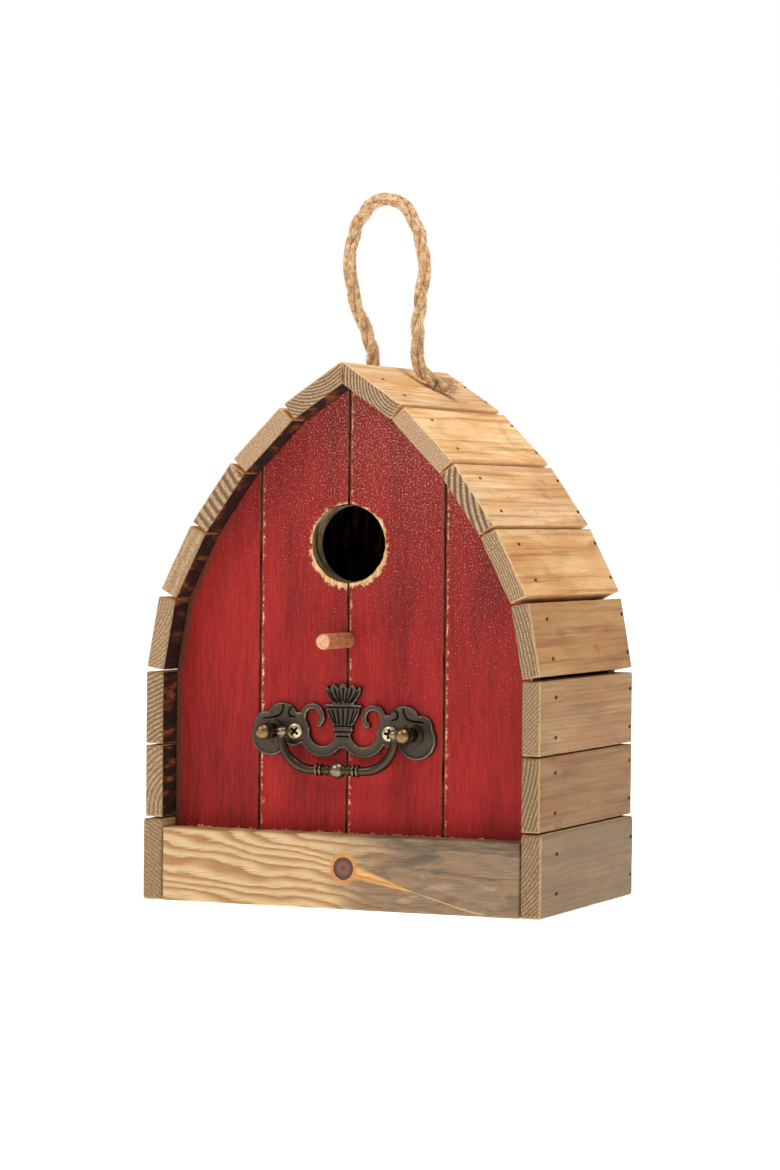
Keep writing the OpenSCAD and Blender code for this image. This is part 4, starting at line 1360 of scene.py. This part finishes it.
# %% [markdown]
# ## A cast plate as a height map
# The backplate is a flat casting with an eased edge, a raised rim, and lines
# chased into the leaves and the vase. A bevel can't draw that. So a fine grid
# is laid over the plate's outline: points just outside are pulled on to the
# outline, and every point's depth comes from its distance to the outline and
# to the chased lines. The same maker presses the tin cover.

# %% Plates from their outlines
def outline_segments(node, face_y):
    """The border of the node's flat face at that depth, as segments in X and Z."""
    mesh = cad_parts[node].data
    at = [v.co / MM for v in mesh.vertices]
    used = {}
    for face in mesh.polygons:
        corners = list(face.vertices)
        if any(abs(at[i].y - face_y) > 0.02 for i in corners):
            continue
        for a, b in zip(corners, corners[1:] + corners[:1]):
            pair = tuple(sorted((round(at[i].x, 3), round(at[i].z, 3)) for i in (a, b)))
            used[pair] = used.get(pair, 0) + 1
    return np.array([pair for pair, count in used.items() if count == 1])


def segment_distance(x, z, segments):
    """Distance from each grid point to the nearest of the segments."""
    best = np.full(x.shape, 1e9)
    for (ax, az), (bx, bz) in segments:
        dx, dz = bx - ax, bz - az
        t = np.clip(((x - ax) * dx + (z - az) * dz) / max(dx * dx + dz * dz, 1e-9), 0, 1)
        best = np.minimum(best, np.hypot(x - ax - t * dx, z - az - t * dz))
    return best


def inside(x, z, segments):
    """True where a line to the right crosses the border an odd number of times."""
    crossings = np.zeros(x.shape, dtype=int)
    for (ax, az), (bx, bz) in segments:
        if az == bz:
            continue
        straddles = (az <= z) != (bz <= z)
        cross_x = ax + (z - az) * (bx - ax) / (bz - az)
        crossings += straddles & (x < cross_x)
    return crossings % 2 == 1


def pulled_grid(segments, cell):
    """A grid whose outer points lie on the outline: x, z, distance and inset."""
    low, high = segments.min(axis=(0, 1)) - cell, segments.max(axis=(0, 1)) + cell
    xs, zs = np.arange(low[0], high[0] + cell, cell), np.arange(low[1], high[1] + cell, cell)
    x, z = np.meshgrid(xs, zs)
    signed = segment_distance(x, z, segments) * np.where(inside(x, z, segments), 1, -1)
    slope_z, slope_x = np.gradient(signed, cell)
    steep = np.maximum(np.hypot(slope_x, slope_z), 0.3) ** 2
    pull = np.where(signed < 0.3 * cell, signed, 0)
    x, z = x - pull * slope_x / steep, z - pull * slope_z / steep
    return x, z, signed, np.maximum(np.where(pull != 0, 0, signed), 0)


def cast_plate(name, node, face_y, rear_y, cell, depth_at):
    """depth_at(inset, x, z) gives each point's depth below the face and its rub."""
    x, z, signed, inset = pulled_grid(outline_segments(node, face_y), cell)
    depth, rub = depth_at(inset, x, z)
    kept = signed > -1e-6
    way = 1 if rear_y > face_y else -1
    points, number, rubs, faces = [], {}, [], []

    def point(i, j):
        if (i, j) not in number:
            number[i, j] = len(points)
            points.append((x[i, j], face_y + way * depth[i, j], z[i, j]))
            rubs.append(rub[i, j])
        return number[i, j]

    for i in range(x.shape[0] - 1):
        for j in range(x.shape[1] - 1):
            block = ((i, j), (i, j + 1), (i + 1, j + 1), (i + 1, j))
            if any(kept[c] for c in block) and all(signed[c] > -1.5 * cell for c in block):
                faces.append([point(*c) for c in block])
    count = len(points)
    points += [(p[0], rear_y, p[2]) for p in points]
    rubs += [0.0] * count
    edges = {}
    for face in faces:
        for a, b in zip(face, face[1:] + face[:1]):
            edges[a, b] = edges.get((a, b), 0) + 1
    border = [(a, b) for a, b in edges if (b, a) not in edges]
    faces += [[i + count for i in face][::-1] for face in faces]
    faces += [[b, a, a + count, b + count] for a, b in border]
    piece = make_piece(name, points, faces, crease=50)
    store(piece, "rub", rubs, "FLOAT")
    return piece


print("plate maker ready")

# %% Backplate
low, high = (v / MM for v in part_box("pull_backplate"))
PLATE_FACE, PLATE_REAR = low.y, high.y
PULL_X, PULL_Z = -2.5, 68.0
POST_X, PLATE_SCREW_X = 29.5, 20.0
# chased lines, from the plate's middle, mm; each is mirrored too
CHASED = [
    [(0, 8.9), (0, 3.1)], [(2.3, 8.9), (1.5, 3.2)], [(4.5, 8.8), (2.9, 3.4)], [(6.2, 8.6), (3.9, 3.9)],
    [(0, 9.7), (7.6, 9.7)], [(0, 2.4), (4.2, 2.4)], [(0, 0.2), (4.1, 0.2)], [(0, -1.6), (2.3, -1.6)],
    [(0.8, 11.6), (1.4, 14.2), (1.9, 16.6)], [(2.5, 11.6), (4.3, 13.8), (5.6, 16.2)],
    [(0, 12.6), (0, 17.2)], [(1.6, 11.9), (3.0, 14.8), (3.7, 17.2)], [(3.5, 11.7), (5.6, 14.1), (6.7, 16.4)],
    [(25.4, 10.2), (25.9, 7.8), (27.2, 5.9), (29.6, 5.0), (33.8, 4.6)],
    [(19.4, 8.0), (20.8, 9.4), (22.6, 9.0), (23.3, 7.2), (22.4, 5.6), (20.8, 5.4)],
]


def chased_segments():
    found = []
    for line in CHASED:
        for side in (1, -1):
            moved = [(PULL_X + side * a, PULL_Z + b) for a, b in line]
            found += list(zip(moved, moved[1:]))
    return found


def backplate_depth(inset, x, z):
    """An eased edge, a narrow rim, a shallow field and chased lines."""
    eased = 0.55 * (1 - np.sqrt(np.clip(1 - (1 - np.clip(inset / 0.7, 0, 1)) ** 2, 0, 1)))
    field = 0.22 * np.clip((inset - 0.85) / 0.7, 0, 1)
    line = np.exp(-(segment_distance(x, z, chased_segments()) / 0.3) ** 2)
    rub = 0.8 * np.clip(1 - np.abs(inset - 0.35) / 0.6, 0, 1) - 1.3 * line
    return eased + field + 0.5 * line, np.clip(rub, -1, 1)


backplate = cast_plate("pull_backplate_cast", "pull_backplate", PLATE_FACE, PLATE_REAR, 0.32, backplate_depth)
dress(backplate, PEWTER, "house", "antique_pewter", "pull_backplate")
print("backplate points:", len(backplate.data.vertices))

# %% [markdown]
# ## Posts, bail and screws
# The posts came off a lathe: a stepped collar, a barrel that holds the pin,
# a bead, a neck and a ball with a small button. The bail is a bent rod that
# swells at its bends, with turned rings and a bead in the middle. The screws
# are cross-recessed, driven until their heads sit on the plate.

# %% Posts
def ball(radius, middle, first, last, steps=12):
    """Points of a lathe profile round a ball, from one angle to another."""
    angles = [math.radians(first + (last - first) * k / steps) for k in range(steps + 1)]
    return [(radius * math.sin(a), middle - radius * math.cos(a)) for a in angles]


PIVOT_OUT, PIN_R = 4.4, 1.16
POST_PROFILE = [(4.0, 0.0), (4.4, 0.1), (4.5, 0.4), (4.45, 0.75), (4.2, 0.9), (3.75, 0.92), (3.6, 1.05),
                (3.58, 1.4), (3.35, 1.6), (3.05, 1.7), (2.95, 2.3), (2.98, 4.4), (3.0, 5.6), (3.1, 6.4),
                (3.1, 6.8), (2.9, 7.1), (2.4, 7.25), (2.2, 7.5)]
POST_PROFILE += ball(3.25, 9.55, 48, 160) + [(1.05, 12.62), (1.0, 12.78), (0.01, 12.8)]
for side, node in ((-1, "pull_post_left"), (1, "pull_post_right")):
    middle = PULL_X + side * POST_X
    post = make_piece(node + "_turned", *turned(POST_PROFILE, (middle, PLATE_FACE, PULL_Z), (0, -1, 0)))
    pin_y = PLATE_FACE - PIVOT_OUT
    hole = rod([Vector((middle + side * 1.2, pin_y, PULL_Z)), Vector((middle - side * 5, pin_y, PULL_Z))],
               [PIN_R] * 2, 24)
    cut(post, make_piece("pin hole", *hole))
    smooth(post, 40)
    values = []
    for v in post.data.vertices:
        out = PLATE_FACE - v.co.y / MM
        radius = math.hypot(v.co.x / MM - middle, v.co.z / MM - PULL_Z)
        tip = min(max((out - 9.0) / 2.5, 0), 1)
        collar = 0.3 if out < 1.6 and radius > 3.3 else 0.0
        values.append(max(tip, collar, 0.35 if 6.2 < out < 7.0 else 0.1))
    store(post, "rub", values, "FLOAT")
    dress(post, BRONZE, "house", "worn_bronze", node)
print("posts from y", round(PLATE_FACE, 1))

# %% Bail
ARM_X, BEND_R, DROP = 23.9, 13.0, 14.5
PIN_END = 30.35
pivot_y = PLATE_FACE - PIVOT_OUT


def bail_line(steps=14):
    """The bail's middle line from pivot to pivot, measured from between them."""
    line = []
    for k in range(4):
        line.append(Vector((-ARM_X, 0, -0.5 * k + 0.2)))
    for k in range(steps + 1):
        turn = math.radians(180 + 90 * k / steps)
        line.append(Vector((-ARM_X + BEND_R + BEND_R * math.cos(turn), 0,
                            BEND_R - DROP + BEND_R * math.sin(turn))))
    line += [Vector((-x, 0, -DROP)) for x in (9.6, 8, 6, 4, 2, 0)]
    return line + [Vector((-p.x, 0, p.z)) for p in line[-2::-1]]


def bail_parts():
    """The bent rod, its two knuckles and pins, four rings and the bead."""
    here = Vector((PULL_X, pivot_y, PULL_Z))
    parts, radii = [], []
    line = bail_line()
    total = length_of(line)
    gone = 0
    for i, p in enumerate(line):
        gone += (p - line[i - 1]).length if i else 0
        share = min(gone, total - gone) / (total / 2)
        radii.append(1.45 + 0.55 * math.sin(math.pi * min(share * 1.15, 1)) ** 0.8)
    parts.append(rod([here + p for p in line], radii, 20))
    for side in (-1, 1):
        # knuckle and pin
        knuckle = [(0.01, -2.3), (1.0, -2.2), (1.7, -1.7), (1.95, -0.8), (2.0, 0), (1.95, 0.8), (1.6, 1.6),
                   (1.2, 2.1), (1.1, 2.4), (1.1, PIN_END - ARM_X - 0.2), (0.9, PIN_END - ARM_X)]
        parts.append(turned(knuckle, here + Vector((side * ARM_X, 0, 0)), (side, 0, 0), 24))
        # two turned rings on each side of the bead
        for start in (6.4, 8.1):
            ring = [(1.7, -0.1), (2.25, 0.05), (2.5, 0.35), (2.5, 0.75), (2.25, 1.1), (1.7, 1.25)]
            parts.append(turned(ring, here + Vector((side * start, 0, -DROP)), (side, 0, 0), 28))
    half = [(1.75, 5.6), (2.1, 5.0), (2.2, 4.5), (2.0, 4.0), (1.75, 3.5), (1.8, 3.0), (2.3, 2.5), (2.8, 1.8),
            (3.1, 1.1), (3.22, 0.6), (3.25, 0.2)]
    bead = [(r, -x) for r, x in half] + [(r, x) for r, x in half[::-1]]
    parts.append(turned(bead, here + Vector((0, 0, -DROP)), (1, 0, 0), 32))
    return parts


bail = make_piece("pull_bail_turned", *together(bail_parts()), crease=40)
values = []
for v in bail.data.vertices:
    x, z = v.co.x / MM - PULL_X, v.co.z / MM - PULL_Z
    off_bar = math.hypot(v.co.y / MM - pivot_y, z + DROP)
    raised = min(max((off_bar - 2.1) / 0.5, 0), 1) if abs(x) < 10 and z < -DROP + 5 else 0.0
    knuckle = 0.8 if z > -1.8 else 0.0
    values.append(max(raised * 0.75, knuckle, 0.2))
store(bail, "rub", values, "FLOAT")
ROD_PEWTER = rubbed_metal("antique pewter rod", "#54493D", "#B5A486", 0.32)
dress(bail, ROD_PEWTER, "bail", "antique_pewter", "pull_bail")
print("bail points:", len(bail.data.vertices))

# %% Cross-recessed screws
def cross_cutter(at, turn):
    """Two tapered blades crossed, pointing into the head."""
    parts = []
    for angle in (turn, turn + 90):
        spin = Matrix.Rotation(math.radians(angle), 3, "Y")
        shape = [(-2.2, -0.3, -0.55), (2.2, -0.3, -0.55), (2.2, -0.3, 0.55), (-2.2, -0.3, 0.55),
                 (-1.5, 1.25, -0.4), (1.5, 1.25, -0.4), (1.5, 1.25, 0.4), (-1.5, 1.25, 0.4)]
        corners = [Vector(at) + spin @ Vector(p) for p in shape]
        parts.append((corners, BOX_FACES))
    return parts


SCREW_PROFILE = [(2.9, 0.0), (3.15, 0.12), (3.2, 0.4), (3.1, 0.75), (2.8, 1.05), (2.3, 1.25), (1.5, 1.36),
                 (0.01, 1.4)]
heads = []
for side, turn in ((-1, 38), (1, 8)):
    at = (PULL_X + side * PLATE_SCREW_X, PLATE_FACE, PULL_Z)
    head = make_piece("screw head", *turned(SCREW_PROFILE, at, (0, -1, 0)))
    for blade in cross_cutter((at[0], at[1] - 1.4, at[2]), turn):
        cut(head, make_piece("blade", *blade))
    heads.append(head)
screws = heads[0]
with bpy.context.temp_override(active_object=screws, selected_editable_objects=heads):
    bpy.ops.object.join()
screws.name = "pull_screws_crossed"
smooth(screws, 30)
values = []
for v in screws.data.vertices:
    off = min(abs(v.co.x / MM - PULL_X - side * PLATE_SCREW_X) for side in (-1, 1))
    out, radius = PLATE_FACE - v.co.y / MM, math.hypot(off, v.co.z / MM - PULL_Z)
    # inside the cross recess -1 paints the black of its shade
    values.append(-1.0 if radius < 2.2 and out < 1.0 else min(max(out - 0.4, 0), 1))
store(screws, "rub", values, "FLOAT")
dress(screws, ZINC, "house", "zinc_screw", "pull_screws")
print("screw heads at y", round(PLATE_FACE - 1.4, 2))

# %% [markdown]
# ## Clean-out cover
# A disc of tin with an ear hangs on one slotted screw over the hole in the
# back. A bead was pressed round it to stiffen it, and its cut edge is turned
# down a little.

# %% Cover and its screw
low, high = (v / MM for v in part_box("cleanout_cover"))


def cover_depth(inset, x, z):
    """A turned-down edge and a pressed bead 4 mm inside it."""
    eased = 0.4 * (1 - np.sqrt(np.clip(1 - (1 - np.clip(inset / 0.5, 0, 1)) ** 2, 0, 1)))
    bead = np.exp(-((inset - 4.0) / 0.8) ** 2)
    return eased + 0.35 * (1 - bead) * np.clip(inset / 1.5, 0, 1), np.clip(bead + (inset < 0.5), 0, 1) * 0.7


cover = cast_plate("cleanout_cover_pressed", "cleanout_cover", high.y, low.y, 0.7, cover_depth)
dress(cover, TIN, "cover", "tin_sheet", "cleanout_cover")

low, high = (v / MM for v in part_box("cleanout_screw"))
middle = (low + high) / 2
HEAD_T, HEAD_R, SHANK_R = 2.2, 3.75, 1.5
profile = [(SHANK_R - 0.4, low.y), (SHANK_R, low.y + 0.5), (SHANK_R, high.y - HEAD_T),
           (HEAD_R - 0.3, high.y - HEAD_T), (HEAD_R, high.y - HEAD_T + 0.25), (HEAD_R, high.y - 1.2),
           (3.3, high.y - 0.6), (2.3, high.y - 0.15), (0.01, high.y)]
pivot_screw = make_piece("cleanout_screw_slotted", *turned(profile, (middle.x, 0, middle.z), (0, 1, 0)))
spin = Matrix.Rotation(math.radians(20), 3, "Y")
slot_box = [spin @ Vector((sx * 5, 0, sz * 0.6)) + Vector((middle.x, y, middle.z))
            for y in (high.y - 0.8, high.y + 1) for sx, sz in CORNER_SIGNS]
cut(pivot_screw, make_piece("slot", slot_box, BOX_FACES))
smooth(pivot_screw, 35)
values = [min(max(v.co.y / MM - high.y + 1.4, 0), 1) for v in pivot_screw.data.vertices]
store(pivot_screw, "rub", values, "FLOAT")
dress(pivot_screw, ZINC, "house", "zinc_screw", "cleanout_screw")
print("clean-out cover points:", len(cover.data.vertices))

# %% [markdown]
# ## Staples
# Each tail of the rope is held by one wire staple. It has been driven until
# its crown bites into the twine, so that only a glint of wire shows among the
# fibres. The wire is round and its two corners are bent, not mitred.

# %% Staples
RIDGE_TOP, LEAN = 212.49, math.radians(56)
TAIL_X, STAPLE_AT, TAIL_TURN = 7.4, 9.5, math.radians(52)
STAPLE_HALF, CROWN, LEG, WIRE_R, WIRE_BEND = 3.1, 4.0, 6.0, 0.5, 0.9


def staple(side):
    """One staple, drawn flat and then stood on the ridge slat."""
    line = [Vector((STAPLE_AT, STAPLE_HALF, -LEG))]
    line += [Vector((STAPLE_AT, STAPLE_HALF - WIRE_BEND + WIRE_BEND * math.cos(a),
                     CROWN - WIRE_BEND + WIRE_BEND * math.sin(a))) for a in EASE_TURNS]
    line += [Vector((p.x, -p.y, p.z)) for p in line[::-1]]
    slope = Matrix.Rotation(math.pi / 2 - LEAN, 3, "Y") @ Matrix.Rotation(TAIL_TURN, 3, "Z")
    at = Vector((TAIL_X, 0, RIDGE_TOP - TAIL_X / math.tan(LEAN)))
    line = [at + slope @ p for p in line]
    return rod([Vector((side * p.x, p.y, p.z)) for p in line], [WIRE_R] * len(line), 10)


staples = make_piece("rope_staples_bent", *together([staple(1), staple(-1)]), crease=50)
store(staples, "rub", [0.2] * len(staples.data.vertices), "FLOAT")
dress(staples, WIRE_STEEL, "house", "brad_steel", "rope_staples")
print("staples:", len(staples.data.vertices), "points")

# %% [markdown]
# ## Floor and light
# A pale floor under soft light, as in a catalogue picture. The main light
# hangs high on the left in front, so the perch and the pull throw soft shadows
# down to the right. A second, warmer one lights the roof's right slope. The
# room itself is white and fills the shadows.

# %% Studio
LIT_POINT = Vector((0, 0, 0.12))
FLOOR_R, FLOOR_SIDES = 6000.0, 96
LIGHTS = (("main light", (-0.8, -1.05, 1.3), 0.4, 9.5, "#FFF6EA"),
          ("roof light", (0.5, -0.1, 1.7), 0.55, 17, "#FFF4E6"))


def white_room():
    """A world that lights softly, while its walls themselves are seen white."""
    world = bpy.data.worlds.new("soft white room")
    world.use_nodes = True
    bpy.context.scene.world = world
    tree = world.node_tree
    seen = add(tree, "LightPath").outputs["Is Camera Ray"]
    strength = add(tree, "MapRange", {"Value": seen, "To Min": 0.38, "To Max": 1.0})
    tree.links.new(strength.outputs["Result"], tree.nodes["Background"].inputs["Strength"])
    tree.nodes["Background"].inputs["Color"].default_value = linear("#FFFFFF")


def hang_light(name, place, size, power, tint):
    """A square area light, turned to the middle of the house."""
    lamp = bpy.data.objects.new(name, bpy.data.lights.new(name, "AREA"))
    lamp.data.size = size
    lamp.data.energy = power
    lamp.data.color = linear(tint)[:3]
    lamp.location = place
    lamp.rotation_euler = (LIT_POINT - Vector(place)).to_track_quat("-Z", "Y").to_euler()
    bpy.context.scene.collection.objects.link(lamp)


def paper_floor():
    """A wide disc just under the house, bright enough to meet the white room."""
    turns = [math.tau * k / FLOOR_SIDES for k in range(FLOOR_SIDES)]
    points = [(FLOOR_R * math.cos(a), FLOOR_R * math.sin(a), -0.05) for a in turns]
    ground = make_piece("pale floor", points, [list(range(FLOOR_SIDES))])
    finish, tree, shader = new_finish("matt white paper")
    fibres = add(tree, "TexNoise", {"Vector": add(tree, "TexCoord").outputs["Object"], "Scale": 900.0})
    tone = add(tree, "MixRGB", {"Fac": fibres, "Color1": "#F6F5F2", "Color2": "#FFFFFF"})
    put(tree, shader, Base_Color=tone, Roughness=0.9, Emission_Color="#FFFFFF", Emission_Strength=0.85)
    ground.data.materials.append(finish)


white_room()
for light in LIGHTS:
    hang_light(*light)
paper_floor()
